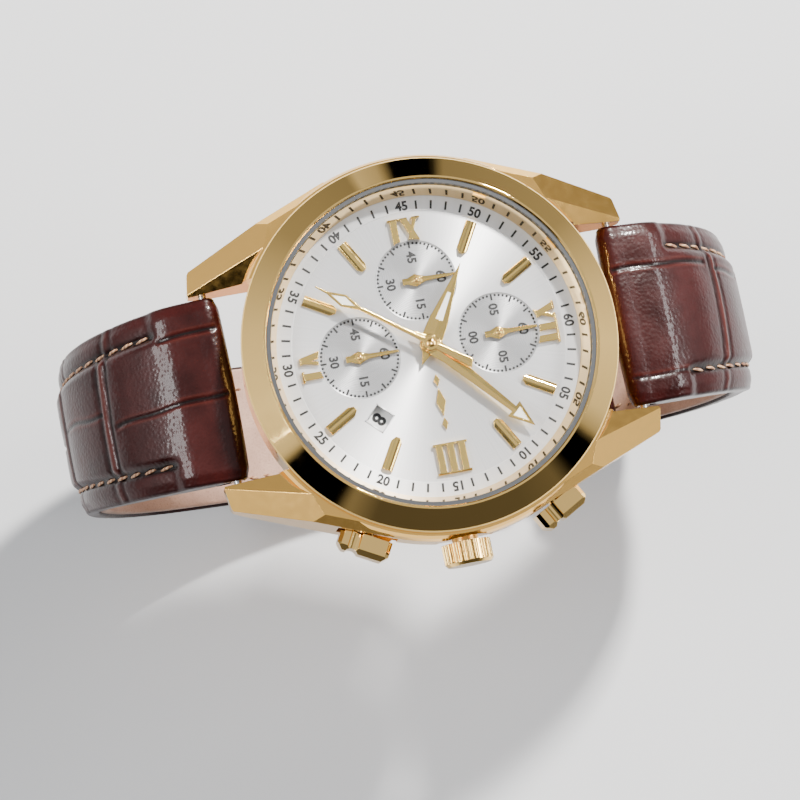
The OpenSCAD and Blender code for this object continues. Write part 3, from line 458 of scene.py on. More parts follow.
def clock_point(radius, angle):
    """Point of the dial at an angle that grows clockwise from 12 o'clock."""
    return np.array([radius * math.sin(angle), radius * math.cos(angle)])


# ---------------------------------------------------------------- dial

PRINT_T = 0.02
FIGURE_BOLD = 0.036             # how far a figure's outline grows, as a share of its size
CHAPTER_IN, CHAPTER_OUT = 15.55, 17.28
CHAPTER_TOP = DIAL_TOP + 0.05
TICK_IN, TICK_OUT, TICK_W = 15.75, 16.75, 0.25
TRACK_TEXT_R, TRACK_TEXT = 16.27, 1.46
GROOVE_RISE = 0.045
REGISTER_FLOOR = DIAL_TOP - REGISTER_SINK + GROOVE_RISE
REGISTER_BAR = (3.8, 4.52, 0.22)                # inner end, outer end and width
REGISTER_DOT = (4.36, 0.145)                    # distance from the centre and radius
REGISTER_TEXT = 1.4
REGISTER_TEXT_R = (2.92, 2.75)                  # for the upright and the side figures
REGISTER_LABELS = {
    "nine": ("60", "15", "30", "45"),
    "six": ("60", "15", "30", "45"),
    "twelve": ("60", "05", "00", "05"),
}
DAYS, DAY_SHOWN = 31, 8


def bar_print(centre, angle, inner, outer, width, low):
    """One printed bar that points outward from a centre."""
    out = clock_point(1, angle)
    side = np.array([out[1], -out[0]]) * width / 2
    centre = np.array(centre)
    outline = [centre + out * inner - side, centre + out * inner + side,
               centre + out * outer + side, centre + out * outer - side]
    return prism(outline, low, low + PRINT_T)


def dot_print(centre, angle, radius, dot_r, low):
    """One printed round dot."""
    at = np.array(centre) + clock_point(radius, angle)
    ring = [at + dot_r * np.array([math.cos(a), math.sin(a)])
            for a in np.linspace(0, 2 * math.pi, 10, endpoint=False)]
    return prism(ring, low, low + PRINT_T)


def figures(text, at, size, turn, low):
    """Printed figures, centred on a point and turned about Z, as points and faces."""
    curve = bpy.data.curves.new("figures", "FONT")
    curve.body = text
    curve.size = size
    curve.align_x = "CENTER"
    curve.align_y = "CENTER"
    curve.offset = size * FIGURE_BOLD
    curve.extrude = PRINT_T / 2
    curve.resolution_u = 3
    carrier = bpy.data.objects.new("figures", curve)
    mesh = carrier.to_mesh()
    points = np.array([v.co for v in mesh.vertices], float)
    faces = [tuple(p.vertices) for p in mesh.polygons]
    carrier.to_mesh_clear()
    bpy.data.objects.remove(carrier)
    bpy.data.curves.remove(curve)
    middle = (points[:, :2].min(0) + points[:, :2].max(0)) / 2
    flat = points[:, :2] - middle
    cos, sin = math.cos(turn), math.sin(turn)
    x = at[0] + flat[:, 0] * cos - flat[:, 1] * sin
    y = at[1] + flat[:, 0] * sin + flat[:, 1] * cos
    return np.column_stack([x, y, points[:, 2] + low + PRINT_T / 2]), faces


def minute_track():
    """Sixty minutes round the dial: a bar a minute, and figures every five."""
    parts = []
    for minute in range(60):
        angle = minute * math.radians(6)
        if minute % 5:
            parts.append(bar_print((0, 0), angle, TICK_IN, TICK_OUT, TICK_W, CHAPTER_TOP))
            continue
        inverted = 15 < minute < 45
        turn = -angle + (math.pi if inverted else 0)
        text = f"{minute or 60:02d}"
        at = clock_point(TRACK_TEXT_R, angle)
        parts.append(figures(text, at, TRACK_TEXT, turn, CHAPTER_TOP))
    return parts


def register_print(centre, labels):
    """Scale of a small dial: sixty dots, a bar in place of each fifth, and four figures."""
    parts = []
    for place in range(60):
        angle = 2 * math.pi * place / 60
        if place % 5:
            parts.append(dot_print(centre, angle, *REGISTER_DOT, REGISTER_FLOOR))
        else:
            parts.append(bar_print(centre, angle, *REGISTER_BAR, REGISTER_FLOOR))
    for quarter, label in enumerate(labels):
        at = np.array(centre) + clock_point(REGISTER_TEXT_R[quarter % 2], quarter * math.pi / 2)
        parts.append(figures(label, at, REGISTER_TEXT, 0.0, REGISTER_FLOOR))
    return parts


def make_chapter_ring():
    """Raised ring that carries the minute track, with a small bevel on its inner edge."""
    bevel = 0.05
    ring = lathe([(CHAPTER_IN, DIAL_TOP), (CHAPTER_IN + bevel, CHAPTER_TOP),
                  (CHAPTER_OUT, CHAPTER_TOP), (CHAPTER_OUT, DIAL_TOP)], steps=240)
    to_object("chapter_ring", *ring, FINISH["chapter_silver"], CASE, "dial_silver", smooth=False)


def make_register_rings():
    """Concentric turned grooves on the floor of each small dial, with a bright rim."""
    pitch = 0.19
    floor = DIAL_TOP - REGISTER_SINK
    valley, rim = floor + 0.012, floor + 0.12
    for name, centre in REGISTER_AT.items():
        profile = [(0.42, floor)]
        radius = 0.45
        while radius < REGISTER_R - 0.3:
            profile += [(radius, REGISTER_FLOOR), (radius + pitch * 0.62, REGISTER_FLOOR),
                        (radius + pitch * 0.74, valley), (radius + pitch * 0.88, valley)]
            radius += pitch
        profile += [(REGISTER_R - 0.16, REGISTER_FLOOR), (REGISTER_R - 0.02, rim),
                    (REGISTER_R - 0.01, floor)]
        turned = lathe(profile, centre, steps=120)
        to_object(f"register_{name}_grooves", *turned, FINISH["register_silver"], CASE,
                  "dial_silver", smooth=False)


def make_date_frame():
    """Thin frame round the date window."""
    at = DATE_R * np.array([math.cos(DATE_ANGLE), math.sin(DATE_ANGLE)])
    parts = []
    outer, inner, rise = 1.22, 1.1, 0.06
    for quarter in range(4):
        turn = DATE_ANGLE + quarter * math.pi / 2
        rotation = np.array([[math.cos(turn), -math.sin(turn)], [math.sin(turn), math.cos(turn)]])
        outline = [(-outer, inner), (outer, inner), (outer, outer), (-outer, outer)]
        parts.append(prism([at + rotation @ np.array(p) for p in outline], DIAL_TOP, DIAL_TOP + rise))
    to_object("date_frame", *merged(parts), FINISH["chapter_silver"], CASE, "dial_silver",
              smooth=False)


def make_date_figures():
    """The days round the date disc; the one shown stands upright in the window."""
    low = extent("date_disc")[1][2]
    parts = []
    for day in range(1, DAYS + 1):
        angle = DATE_ANGLE - (day - DAY_SHOWN) * 2 * math.pi / DAYS
        at = DATE_R * np.array([math.cos(angle), math.sin(angle)])
        parts.append(figures(str(day), at, 2.2, angle, low))
    to_object("date_figures", *merged(parts), FINISH["print_black"], "date", "chip_black",
              smooth=False)


def make_print():
    """All black print of the dial as one piece."""
    parts = minute_track()
    for name, labels in REGISTER_LABELS.items():
        parts += register_print(REGISTER_AT[name], labels)
    to_object("dial_print", *merged(parts), FINISH["print_black"], CASE, "chip_black",
              smooth=False)


def make_hand_caps():
    """Small domed caps over the arbors that the hands are pressed on."""
    def cap(radius, low, high, centre=(0.0, 0.0)):
        wall = 0.35
        dome = [(radius * math.cos(a), low + (high - low) * (wall + (1 - wall) * math.sin(a)))
                for a in np.linspace(0, math.pi / 2 * 0.96, 6)]
        return lathe([(0.001, low), (radius, low), *dome], centre, steps=48)

    top = extent("chrono_seconds_hand")[1][2]
    to_object("seconds_cap", *cap(0.5, top - 0.14, top + 0.12), FINISH["gold_polished"],
              "chrono_seconds", "gold_polished")
    for node, body, place in (("small_seconds_hand", "small_seconds", "six"),
                              ("chrono_minute_hand", "chrono_minutes", "nine"),
                              ("chrono_counter_hand", "chrono_counter", "twelve")):
        top = extent(node)[1][2]
        to_object(f"{node}_cap", *cap(0.3, top - 0.08, top + 0.08, REGISTER_AT[place]),
                  FINISH["gold_polished"], body, "gold_polished")


# ---------------------------------------------------------------- strap loop

# The strap's route as in part.scad, seen from the side: an arc at the side, a second one round the
# corner and a third across the back, each half starting at its spring bar (mm)
SPRING_BAR_R = 0.75
BAR_REACH = extent("spring_bars")[1][1] - SPRING_BAR_R
BAR_HEIGHT = extent("spring_bars")[1][2] - SPRING_BAR_R
SIDE_R = 20.6
CORNER_R = 20.0
START = math.radians(78)
CORNER_ANGLE = math.radians(-60)
SIDE_C = np.array([BAR_REACH - SIDE_R * math.cos(START), BAR_HEIGHT - SIDE_R * math.sin(START)])
CORNER_C = SIDE_C + [SIDE_R - CORNER_R, 0]
BACK_R = CORNER_R + CORNER_C[0] / math.cos(CORNER_ANGLE)
BACK_C = np.array([0, CORNER_C[1] + (CORNER_R - BACK_R) * math.sin(CORNER_ANGLE)])
SIDE_LEN = SIDE_R * START
CORNER_LEN = CORNER_R * -CORNER_ANGLE
HALF_LOOP = SIDE_LEN + CORNER_LEN + BACK_R * (math.pi / 2 + CORNER_ANGLE)
# Its thicknesses, places along the route and widths
WRAP_R = 1.75
LINING_T = 0.8
STRAP_T = 4.6
SHORT_BACK_T = 3.0
TAIL_T = 2.4
TAIL_LIFT = SHORT_BACK_T / 2 + 0.3 + TAIL_T / 2
TAIL_END = HALF_LOOP + 37
BUCKLE_AT = 72.0
WIDTH_TOP = 21.2
WIDTH_SIDE = 17.8
WIDTH_BACK = 17.2
BACK_Z = BACK_C[1] - BACK_R - 6


def loop_frame(s):
    """Centre points and outward normals (YZ) of the short half at distances s from its bar."""
    s = np.asarray(s, float)
    on_side = s <= SIDE_LEN
    on_corner = s <= SIDE_LEN + CORNER_LEN
    angle = np.where(on_side, START - s / SIDE_R, np.where(
        on_corner, -(s - SIDE_LEN) / CORNER_R,
        CORNER_ANGLE - (s - SIDE_LEN - CORNER_LEN) / BACK_R))
    radius = np.where(on_side, SIDE_R, np.where(on_corner, CORNER_R, BACK_R))
    centre = np.where(on_side[:, None], SIDE_C, np.where(on_corner[:, None], CORNER_C, BACK_C))
    normal = np.stack([np.cos(angle), np.sin(angle)], axis=1)
    return centre + radius[:, None] * normal, normal


def long_frame(s):
    """The same for the long half, which starts at the 6 o'clock bar."""
    s = np.asarray(s, float)
    flipped = np.where(s <= HALF_LOOP, -1.0, 1.0)[:, None] * np.array([1.0, 0.0]) + [0.0, 1.0]
    centre, normal = loop_frame(np.where(s <= HALF_LOOP, s, 2 * HALF_LOOP - s))
    return centre * flipped, normal * flipped


def ramp(s, start, end):
    """Smooth step from 0 to 1."""
    t = np.clip((np.asarray(s, float) - start) / (end - start), 0, 1)
    return t * t * (3 - 2 * t)


def straight(s, start, end, a, b):
    """Straight step from a to b."""
    return a + (b - a) * np.clip((np.asarray(s, float) - start) / (end - start), 0, 1)


def thickness(s, back):
    """Thickness at distances s: the roll at the bar, the padded part, then thinner to the back."""
    return np.where(s < 4, straight(s, 1, 4, 2 * WRAP_R, STRAP_T),
                    straight(s, 6, SIDE_LEN + CORNER_LEN, STRAP_T, back))


def tail_offset(s):
    """How far the tail climbs, so that it lies over the short half."""
    return straight(s, 75, 87, 0, TAIL_LIFT)


def loop_width(z):
    """The strap's taper, by height."""
    return np.where(z > SIDE_C[1], straight(z, BAR_HEIGHT, SIDE_C[1], WIDTH_TOP, WIDTH_SIDE),
                    straight(z, SIDE_C[1], BACK_Z, WIDTH_SIDE, WIDTH_BACK))


class Half:
    """One half of the strap: its route, thickness and grain pattern."""

    def __init__(self, name, route, back, offset, end, ridges, creases):
        self.name = name
        self.route = route
        self.back = back
        self.offset = offset
        self.end = end
        self.ridges = ridges
        self.creases = creases

    def width(self, s):
        """Width at distances s; the long half ends in a rounded tip."""
        centre, _ = self.route(s)
        width = loop_width(centre[:, 1])
        if self.end > HALF_LOOP:
            tip = WIDTH_BACK / 2
            into = np.clip((s - (self.end - tip)) / tip, 0, 0.999)
            width = width * np.sqrt(1 - into ** 2.4)
        return width

    def place(self, s, x, height):
        """Points at distances s, across x, at heights above the loop's middle line."""
        centre, normal = self.route(s)
        yz = centre[:, None, :] + normal[:, None, :] * np.asarray(height)[..., None]
        return np.concatenate([np.asarray(x)[..., None], yz], axis=2)


# Sewn channel: its distance from the edge and where it starts, and the pad's rise between the channels
CHANNEL = 2.9
CHANNEL_FROM = 6.2
PAD_RISE = 0.62
# Places of the punched holes along the long half, and the slot where the tongue comes through
HOLES = [70.0, 76.0, 93.5, 99.5, 105.5, 111.5]
HOLE_R = 0.9
HOLE_DENT = 1.0
SLOT = (79.5, 87.3)


def bump_of(distance, spread):
    """Bell curve, 1 at distance 0."""
    return np.exp(-(distance / spread) ** 2)


def ridge_relief(half, s, x, across, inside):
    """Ridges across the strap between the plates, with a groove on each side; the grooves carry painted
    shade and the ridge tops a painted highlight.
    """
    height, shade = 0 * x, 0 * x
    strength = 0.45 + 0.55 * inside
    for at, bow, lean in half.ridges:
        shift = 0.55 * (1 - inside) * np.sign(x)
        d = s - (at + bow * (1 - across ** 2) + lean * across + shift)
        grooves = bump_of(np.abs(d) - 0.72, 0.26)
        plateau = bump_of(d, 0.5)
        height += strength * (0.16 * plateau - 0.2 * grooves - 0.16 * bump_of(d, 2.2))
        # painted shade in the grooves, painted highlight (negative shade) on the ridge tops
        shade += strength * (0.55 * grooves - 0.45 * plateau)
    return height, shade


def crease_relief(half, s, x, reach, inside):
    """Creases along the strap that split the plates, darkened with painted shade."""
    height, shade = 0 * x, 0 * x
    for at, lean, start, end, wave in half.creases:
        middle = at * reach + lean * (s - start) + wave * np.sin((s - start) * 0.9 + 7 * at)
        d = x - middle
        there = ramp(s, start - 0.3, start + 0.3) * (1 - ramp(s, end - 0.3, end + 0.3)) * inside
        height += there * (0.05 * bump_of(np.abs(d) - 0.5, 0.22) - 0.15 * bump_of(d, 0.2)
                           - 0.1 * bump_of(d, 1.3))
        # painted shade along the crease line, painted highlight (negative shade) on its flanks
        shade += there * (0.75 * bump_of(d, 0.2) - 0.3 * bump_of(np.abs(d) - 0.45, 0.2))
    return height, shade


def leather_relief(half, s, x, width):
    """Height of the grain side over its flat top, and the painted light there: + is painted shade in
    hollows, - a painted highlight on what stands proud.
    """
    s = s[:, None] + 0 * x
    reach = width[:, None] / 2
    u = reach - np.abs(x)
    across = x / reach
    pads = ramp(s, CHANNEL_FROM - 1.0, CHANNEL_FROM + 0.6) * (1 - ramp(s, half.end - 14, half.end - 6))
    band = 1 - ramp(u, CHANNEL - 0.2, CHANNEL + 1.3)
    sewn = bump_of(u - CHANNEL, 0.42) * ramp(s, CHANNEL_FROM - 0.8, CHANNEL_FROM)
    inside = ramp(u, CHANNEL - 0.3, CHANNEL + 0.3)
    ridge_height, ridge_shade = ridge_relief(half, s, x, across, inside)
    crease_height, crease_shade = crease_relief(half, s, x, reach, inside)
    height = (-PAD_RISE * band * pads - 0.3 * sewn - 0.22 * across ** 2
              - 0.35 * (1 - ramp(u, 0.0, 1.5)) + ridge_height + crease_height)
    # painted shade in the sewn channel, added to the ridges' and creases' painted shade and highlight
    shade = 0.75 * sewn + ridge_shade + crease_shade
    if half.end > HALF_LOOP:
        slot_s = np.clip(s, SLOT[0] + HOLE_R, SLOT[1] - HOLE_R)
        for at in (*HOLES, slot_s):
            d = np.hypot(s - at, x) - HOLE_R
            cut = 1 - ramp(d, -0.1, 0.12)
            height -= HOLE_DENT * cut + 0.12 * bump_of(d, 0.35)
            # painted shade fills each punched hole and the slot, so that they look deep
            shade = shade * (1 - cut) + 1.6 * cut
    return height, shade


def pattern(first_ridge, count, spread):
    """Transverse ridges and lengthwise creases of the plates beyond the first ones."""
    ridges, creases, at = [], [], first_ridge
    for i in range(count):
        ridges.append((at, 0.5 * math.sin(2.1 * i + spread), 0.5 * math.cos(1.3 * i + spread)))
        after = at + 11.2 + 1.1 * math.sin(1.7 * i + spread)
        for k, place in enumerate((-0.36, 0.3) if i % 2 else (0.02,)):
            creases.append((place + 0.07 * math.sin(i + k + spread), 0.02 * math.cos(i + spread),
                            at + 0.9, after - 0.9, 0.12))
        at = after
    return ridges, creases


def make_halves():
    """Both halves, with the plates next to the lugs as the photo shows them."""
    ridges, creases = pattern(24.4, 9, 0.7)
    long_half = Half(
        "strap_long", long_frame, TAIL_T, tail_offset, TAIL_END,
        [(13.4, 0.4, 0.5), *ridges],
        [(0.06, 0.055, -1.2, 12.4, 0.1), (-0.66, 0.02, -1.2, 5.4, 0.05),
         (-0.05, -0.03, 14.3, 23.5, 0.16), *creases])
    ridges, creases = pattern(23.6, 5, 2.2)
    short_half = Half(
        "strap_short", loop_frame, SHORT_BACK_T, lambda s: 0 * s, BUCKLE_AT - 2,
        [(12.2, 1.1, -0.6), *ridges],
        [(-0.5, -0.02, -1.2, 11.6, 0.08), (0.72, 0.0, -1.2, 6.0, 0.06),
         (-0.45, 0.02, 13.4, 22.7, 0.12), *creases])
    return short_half, long_half


TOP_COLUMNS = 84
UNDER_COLUMNS = 8
UNDER_BEVEL = 0.12
RIM_SHADE = 0.22                # shade of the painted edge and the underside


def band_rings(half, s, centre, normal, top, depth, width, edge_r, relief=None):
    """Closed cross-sections: the relief on top, round edges, straight sides and a flat underside."""
    reach = width[:, None] / 2
    flat = reach - edge_r
    x_top = flat * np.linspace(-1, 1, TOP_COLUMNS + 1)[None, :]
    lift, shade = (0 * x_top, 0 * x_top) if relief is None else relief(half, s, x_top, width)
    h_top = top[:, None] + lift
    turns = np.radians([25, 50, 72, 90])[None, :]
    x_edge = flat + edge_r * np.sin(turns)
    drop = edge_r * (1 - np.cos(turns))
    under = (top - depth)[:, None]
    x_side = np.concatenate([reach, reach - UNDER_BEVEL], axis=1)
    h_side = np.concatenate([under + UNDER_BEVEL, under], axis=1)
    x_under = (reach - UNDER_BEVEL) * np.linspace(1, -1, UNDER_COLUMNS + 1)[None, 1:-1]
    x = np.concatenate([x_top, x_edge, x_side, x_under, -x_side[:, ::-1], -x_edge[:, ::-1]], 1)
    h = np.concatenate([h_top, h_top[:, -1:] - drop, h_side, under + 0 * x_under,
                        h_side[:, ::-1], (h_top[:, :1] - drop)[:, ::-1]], 1)
    shades = np.full(x.shape, RIM_SHADE)
    shades[:, :TOP_COLUMNS + 1] = shade
    yz = centre[:, None, :] + normal[:, None, :] * h[..., None]
    rings = np.concatenate([x[..., None], yz], axis=2)
    return rings, np.append(shades.reshape(-1), [RIM_SHADE, RIM_SHADE])


def make_leather(half, node):
    """Grain leather of one half: a flap under the strap, a roll round the spring bar, and the run."""
    flap_len, ply, skived = 2.8, WRAP_R - 0.8, 0.45
    flap = np.arange(flap_len, 0.0, -0.35)
    roll = np.radians(np.arange(180, 0, -7.5))
    run = np.append(np.arange(0.0, half.end, 0.3), half.end)
    centre, normal = half.route(run)
    flap_centre, flap_normal = half.route(flap)
    tangent = np.array([normal[0][1], -normal[0][0]]) * (-1 if half.end > HALF_LOOP else 1)
    roll_normal = np.cos(roll)[:, None] * normal[0] - np.sin(roll)[:, None] * tangent
    bar = np.tile(centre[0], (len(roll), 1))
    s = np.concatenate([-math.pi * WRAP_R - flap, -roll * WRAP_R, run])
    thick = thickness(run, half.back)
    top = np.concatenate([np.full(len(flap) + len(roll), WRAP_R), half.offset(run) + thick / 2])
    depth_run = np.maximum(straight(run, 0, flap_len, ply, thick - LINING_T), 2 * skived)
    depth = np.concatenate([straight(flap, 0, flap_len, ply, skived), np.full(len(roll), ply),
                            depth_run])
    centres = np.concatenate([flap_centre, bar, centre])
    normals = np.concatenate([-flap_normal, roll_normal, normal])
    width = np.concatenate([half.width(flap), np.full(len(roll), half.width(run[:1])[0]),
                            half.width(run)])
    rings, shade = band_rings(half, s, centres, normals, top, depth, width, 0.45, leather_relief)
    piece = to_object(f"{half.name}_leather_skin", *capped_tube(rings), FINISH["croc"], CASE,
                      "leather_brown", shade)
    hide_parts(node)


def make_lining(half, node):
    """Lining of one half, a little narrower than the leather."""
    end = half.end - (1.0 if half.end > HALF_LOOP else 0.6)
    s = np.append(np.arange(3.0, end, 0.5), end)
    centre, normal = half.route(s)
    underside = half.offset(s) - thickness(s, half.back) / 2
    width = np.maximum(half.width(s) - 0.7, 0.6)
    rings, _ = band_rings(half, s, centre, -normal, -underside, np.full(len(s), LINING_T), width, 0.3)
    piece = to_object(f"{half.name}_lining_skin", *capped_tube(rings), FINISH["lining"], CASE,
                      "lining_leather")
    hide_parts(node)


def stitch(path, up, radius=0.2):
    """One stitch: a short thread that dips into the leather at both ends."""
    path = np.asarray(path, float)
    along = path[-1] - path[0]
    along = along / np.linalg.norm(along)
    side = np.cross(along, up)
    turns = np.linspace(0, 2 * math.pi, 7, endpoint=False)
    rings = []
    for i, point in enumerate(path):
        t = i / (len(path) - 1)
        r = radius * (0.55 + 0.45 * math.sin(math.pi * t))
        rings.append([point + r * (math.cos(a) * side + math.sin(a) * up) for a in turns])
    return capped_tube(rings)


def stitch_row(half, start, end, side, inner):
    """A row of stitches along one channel of the leather, or of the lining when inner."""
    pitch, length, steps, slant, crown = 2.15, 1.6, 6, 0.16, 0.2
    parts = []
    for at in np.arange(start, end, pitch):
        s = at + length * np.linspace(0, 1, steps)
        width = half.width(s)
        thick = thickness(s, half.back)
        offset = half.offset(s)
        x = side * (width / 2 - CHANNEL) + slant * np.linspace(-1, 1, steps)
        rise = crown * np.sin(np.pi * np.linspace(0, 1, steps))
        if inner:
            height = offset - thick / 2 - rise + 0.14
        else:
            lift, _ = leather_relief(half, s, x[:, None], width)
            height = offset + thick / 2 + lift[:, 0] + rise - 0.05
        path = half.place(s, x[:, None], height[:, None])[:, 0, :]
        _, normal = half.route(s[steps // 2:steps // 2 + 1])
        up = np.array([0, *(normal[0] * (-1 if inner else 1))])
        parts.append(stitch(path, up))
    return parts


def make_stitches(half):
    """Both rows of stitches of one half, on the grain side and on the lining."""
    start, end = CHANNEL_FROM + 0.4, half.end - (11 if half.end > HALF_LOOP else 5)
    for kind, slot in (("outer", "leather_brown"), ("inner", "lining_leather")):
        parts = [one for side in (-1, 1) for one in stitch_row(half, start, end, side, kind == "inner")]
        to_object(f"{half.name}_{kind}_stitches", *merged(parts), FINISH["thread"], CASE, slot)


def make_buckle_fold(half):
    """Two folded tabs that hold the buckle bar, on both sides of the tongue."""
    centre, normal = half.route(np.array([BUCKLE_AT]))
    centre, normal = centre[0], normal[0]
    tangent = np.array([normal[1], -normal[0]])
    outer_r, inner_r = SHORT_BACK_T / 2, 0.66
    reach = half.width(np.array([BUCKLE_AT]))[0] / 2
    back, slot_half, chamfer, slimmer = 2.4, 1.15, 0.2, 0.93
    angles = np.radians(np.arange(90, -91, -12))
    outline = [(-back, outer_r), *[(outer_r * math.cos(a), outer_r * math.sin(a)) for a in angles],
               (-back, -outer_r), (-back, -inner_r),
               *[(inner_r * math.cos(a), inner_r * math.sin(a)) for a in angles[::-1]],
               (-back, inner_r)]
    parts = []
    for side in (-1, 1):
        rings = []
        for x, scale in ((slot_half, slimmer), (slot_half + 0.15, 1.0),
                         (reach - chamfer, 1.0), (reach, slimmer)):
            rings.append([(side * x, *(centre + tangent * along + normal * up * scale))
                          for along, up in outline])
        points, faces = capped_tube(np.array(rings)[:, ::side, :])
        faces = [f for f in faces if len(f) == 4]
        count = len(outline)
        caps = [tuple(range(count - 1, -1, -1)), tuple(range(3 * count, 4 * count))]
        parts.append((points[:-2], faces + caps))
    to_object("buckle_fold", *merged(parts), FINISH["croc"], CASE, "leather_brown",
              np.full(sum(len(p[0]) for p in parts), 0.15), smooth=False)


def rounded_loop(half_w, half_h, corner, arc_points, across, down):
    """Points round a rectangle with round corners, each as (x, y, normal x, normal y).

    The horizontal sides are divided into `across` steps and the upright ones into `down`.
    """
    loop = []
    for quarter, (cx, cy) in enumerate(((1, 1), (-1, 1), (-1, -1), (1, -1))):
        for a in np.radians(90 * quarter + np.linspace(0, 90, arc_points)):
            loop.append((cx * (half_w - corner) + corner * math.cos(a),
                         cy * (half_h - corner) + corner * math.sin(a), math.cos(a), math.sin(a)))
        x, y, normal_x, normal_y = loop[-1]
        flat, steps = ((half_w - corner, across), (half_h - corner, down))[quarter % 2]
        for k in range(1, steps):
            run = 2 * flat * k / steps
            loop.append((x - normal_y * run, y + normal_x * run, normal_x, normal_y))
    return loop


def make_keeper(name, node, start, end, gap, body):
    """Leather loop round both layers: a rounded band with a crowned face and a groove at each edge,
    darkened with painted shade.
    """
    thick, crown, groove_depth, groove_in = 1.1, 0.12, 0.1, 0.75
    reach = extent(node)[1][0] - thick / 2
    low = -SHORT_BACK_T / 2 - gap - thick / 2
    high = TAIL_LIFT + TAIL_T / 2 + gap + thick / 2
    half_s = (end - start) / 2
    route = rounded_loop(reach, (high - low) / 2, 1.3, 7, 24, 4)
    outline = rounded_loop(half_s, thick / 2, 0.3, 4, 13, 1)
    rings, shade = [], []
    for x, n, out_x, out_n in route:
        for along, out, _, _ in outline:
            face = out > 0
            groove = math.exp(-((abs(along) - half_s + groove_in) / 0.16) ** 2) if face else 0.0
            dome = crown * (1 - (along / half_s) ** 2) if face else 0.0
            grow = out + dome - crown - groove_depth * groove
            centre, normal = loop_frame(np.array([(start + end) / 2 + along]))
            yz = centre[0] + normal[0] * ((low + high) / 2 + n + out_n * grow)
            rings.append((x + out_x * grow, *yz))
            # painted shade in the edge grooves
            shade.append(0.6 * groove)
    rows, cols = len(route), len(outline)
    faces = tube_faces(rows, cols, capped=False)
    last = (rows - 1) * cols
    faces += [(last + c, last + (c + 1) % cols, (c + 1) % cols, c) for c in range(cols)]
    piece = to_object(name, rings, faces, FINISH["croc"], body, "leather_brown", shade)
    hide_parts(node)


def make_strap():
    """The whole strap; the keepers' places are distances along the short half."""
    short_half, long_half = make_halves()
    make_leather(short_half, "strap_short_leather")
    make_leather(long_half, "strap_long_leather")
    make_lining(short_half, "strap_short_lining")
    make_lining(long_half, "strap_long_lining")
    for half in (short_half, long_half):
        make_stitches(half)
    make_buckle_fold(short_half)
    make_keeper("keeper_fixed_band", "keeper_fixed", 61, 66, 0.05, CASE)
    make_keeper("keeper_floating_band", "keeper_floating", 50.5, 55.5, 0.3, "floating_keeper")


# ---------------------------------------------------------------- studio

def make_camera():
    """Camera that sees the dial nearly face-on, with 12 o'clock to the right."""
    toward_3, toward_12, roll = (math.radians(a) for a in (7.46, -7.55, 10.49))
    distance = 0.35
    back = Vector((math.tan(toward_3), math.tan(toward_12), 1)).normalized()
    level = Vector((math.sin(roll), math.cos(roll), 0))
    right = (level - back * level.dot(back)).normalized()
    up = back.cross(right)
    aim = Vector((5.52, -4.51, DIAL_TOP)) * MM
    camera = bpy.data.objects.new("camera", bpy.data.cameras.new("camera"))
    bpy.context.scene.collection.objects.link(camera)
    turn = Matrix((right, up, back)).transposed().to_4x4()
    camera.matrix_world = Matrix.Translation(aim + back * distance) @ turn
    camera.data.sensor_width = 36.0
    camera.data.lens = 140.0
    camera.data.clip_start = 0.01
    bpy.context.scene.camera = camera


def area_light(name, clock_deg, elevation_deg, distance, size, power, color=(1, 1, 1)):
    """A soft panel that faces the watch from a direction on the dial's clock."""
    clock, elevation = math.radians(clock_deg), math.radians(elevation_deg)
    toward = Vector((math.sin(clock) * math.cos(elevation), math.cos(clock) * math.cos(elevation),
                     math.sin(elevation)))
    data = bpy.data.lights.new(name, "AREA")
    data.shape = "RECTANGLE"
    data.size, data.size_y = size
    data.energy = power
    data.color = color
    light = bpy.data.objects.new(name, data)
    light.location = toward * distance
    light.rotation_euler = toward.to_track_quat("Z", "Y").to_euler()
    bpy.context.scene.collection.objects.link(light)


# Brightness of the studio round the watch by clock angle in degrees, at the bezel's height
LOW_RING = [
    (0, 1.0), (20, 0.8), (27, 0.4), (30, 0.0), (40, 0.0), (46, 0.12), (60, 0.09), (115, 0.08),
    (126, 0.2), (131, 0.0), (154, 0.0), (158, 0.7), (176, 1.0), (205, 0.8), (240, 0.32),
    (265, 0.24), (267, 0.6), (273, 0.45), (275, 0.2), (277, 0.0), (288, 0.0), (291, 0.24),
    (325, 0.34), (345, 0.8), (360, 1.0),
]
# The same higher up, where the dial's brushed lines look
HIGH_RING = [
    (0, 0.1), (35, 0.34), (70, 0.08), (120, 0.2), (160, 0.08), (195, 0.35), (217, 0.8), (240, 0.3),
    (265, 0.1), (305, 0.5), (340, 0.12), (360, 0.1),
]


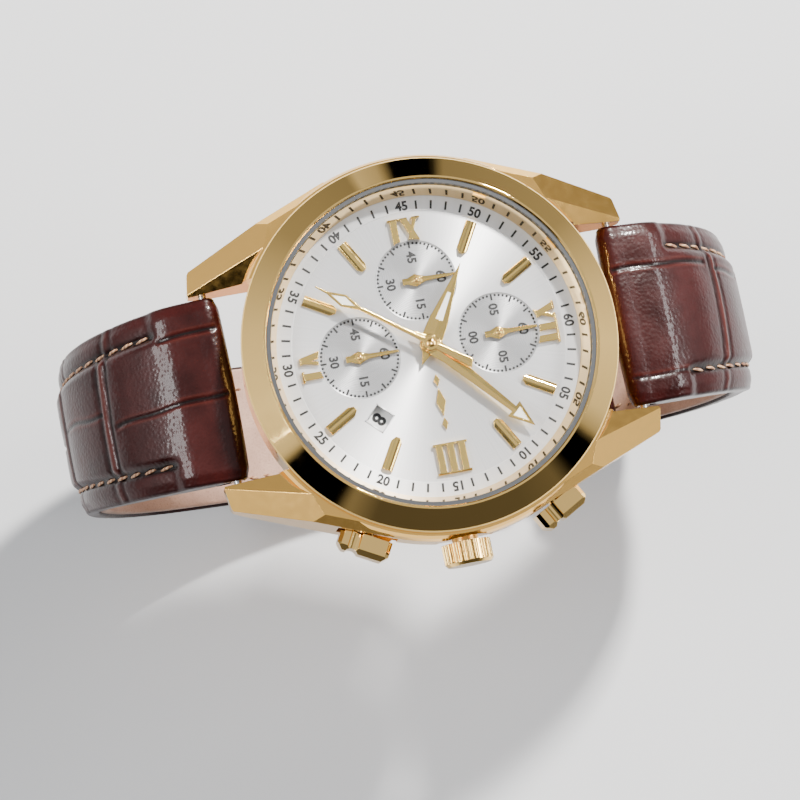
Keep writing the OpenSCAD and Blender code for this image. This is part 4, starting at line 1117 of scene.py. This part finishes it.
def make_world():
    """Studio light as a plain gradient: bright panels and dark gaps round the horizon."""
    world = bpy.data.worlds.new("studio")
    bpy.context.scene.world = world
    world.use_nodes = True
    tree = world.node_tree
    tree.nodes.clear()
    node = node_maker(tree)
    coords = node("ShaderNodeTexCoord").outputs["Generated"]
    parts = node("ShaderNodeSeparateXYZ", Vector=coords)
    angle = maths(node, "ARCTAN2", parts.outputs[0], parts.outputs[1])
    turn = maths(node, "DIVIDE", angle, 2 * math.pi)
    share = maths(node, "FRACT", maths(node, "ADD", turn, 1.0))

    def ring(stops):
        """Brightness round the clock from a list of (degrees, value)."""
        made = node("ShaderNodeValToRGB", Fac=share)
        elements = made.color_ramp.elements
        for i, (degrees, value) in enumerate(stops):
            element = elements[i] if i < 2 else elements.new(degrees / 360)
            element.position = degrees / 360
            element.color = (value, value, value, 1)
        return made.outputs[0]

    def blend(low, high, edge_low, edge_high):
        """One light below and another above, blended between two heights."""
        between = node("ShaderNodeMapRange", {"interpolation_type": "SMOOTHSTEP"},
                       Value=parts.outputs[2], From_Min=edge_low, From_Max=edge_high)
        return mixed(node, between.outputs["Result"], low, high)

    horizon = blend((0.2, 0.2, 0.205), ring(LOW_RING), 0.02, 0.16)
    upper = blend(horizon, ring(HIGH_RING), 0.62, 0.74)
    sky = blend(upper, (0.62, 0.62, 0.62), 0.9, 0.97)
    light = node("ShaderNodeBackground", Color=sky, Strength=1.2)
    node("ShaderNodeOutputWorld", Surface=light.outputs[0])


def make_floor():
    """Plain pale floor just under the lowest point of the strap."""
    low, size = cad_box[0].z - 0.2 * MM, 3.0
    mesh = bpy.data.meshes.new("floor")
    mesh.from_pydata([(-size, -size, low), (size, -size, low), (size, size, low), (-size, size, low)],
                     [], [(0, 1, 2, 3)])
    material, shader, node, link = new_material("floor")
    paper = object_noise(node, 40.0, 2.0)
    link(mixed(node, paper, (0.62, 0.63, 0.65), (0.58, 0.59, 0.61)), shader.inputs["Base Color"])
    set_sockets(shader, Roughness=0.75)
    mesh.materials.append(material)
    floor = bpy.data.objects.new("floor", mesh)
    bpy.context.scene.collection.objects.link(floor)


def make_lights():
    """A small warm key light, and a broad panel on each side of the picture."""
    area_light("key", 307, 45, 0.6, (0.05, 0.05), 11.5, (1.0, 0.97, 0.92))
    area_light("right_panel", 0, 36, 0.55, (0.34, 0.1), 2.4)
    area_light("left_panel", 184, 40, 0.55, (0.34, 0.1), 2.4)


make_camera()
make_world()
make_lights()
make_floor()
dress_cad_nodes()
make_chapter_ring()
make_register_rings()
make_date_frame()
make_print()
make_date_figures()
make_hand_caps()
make_strap()
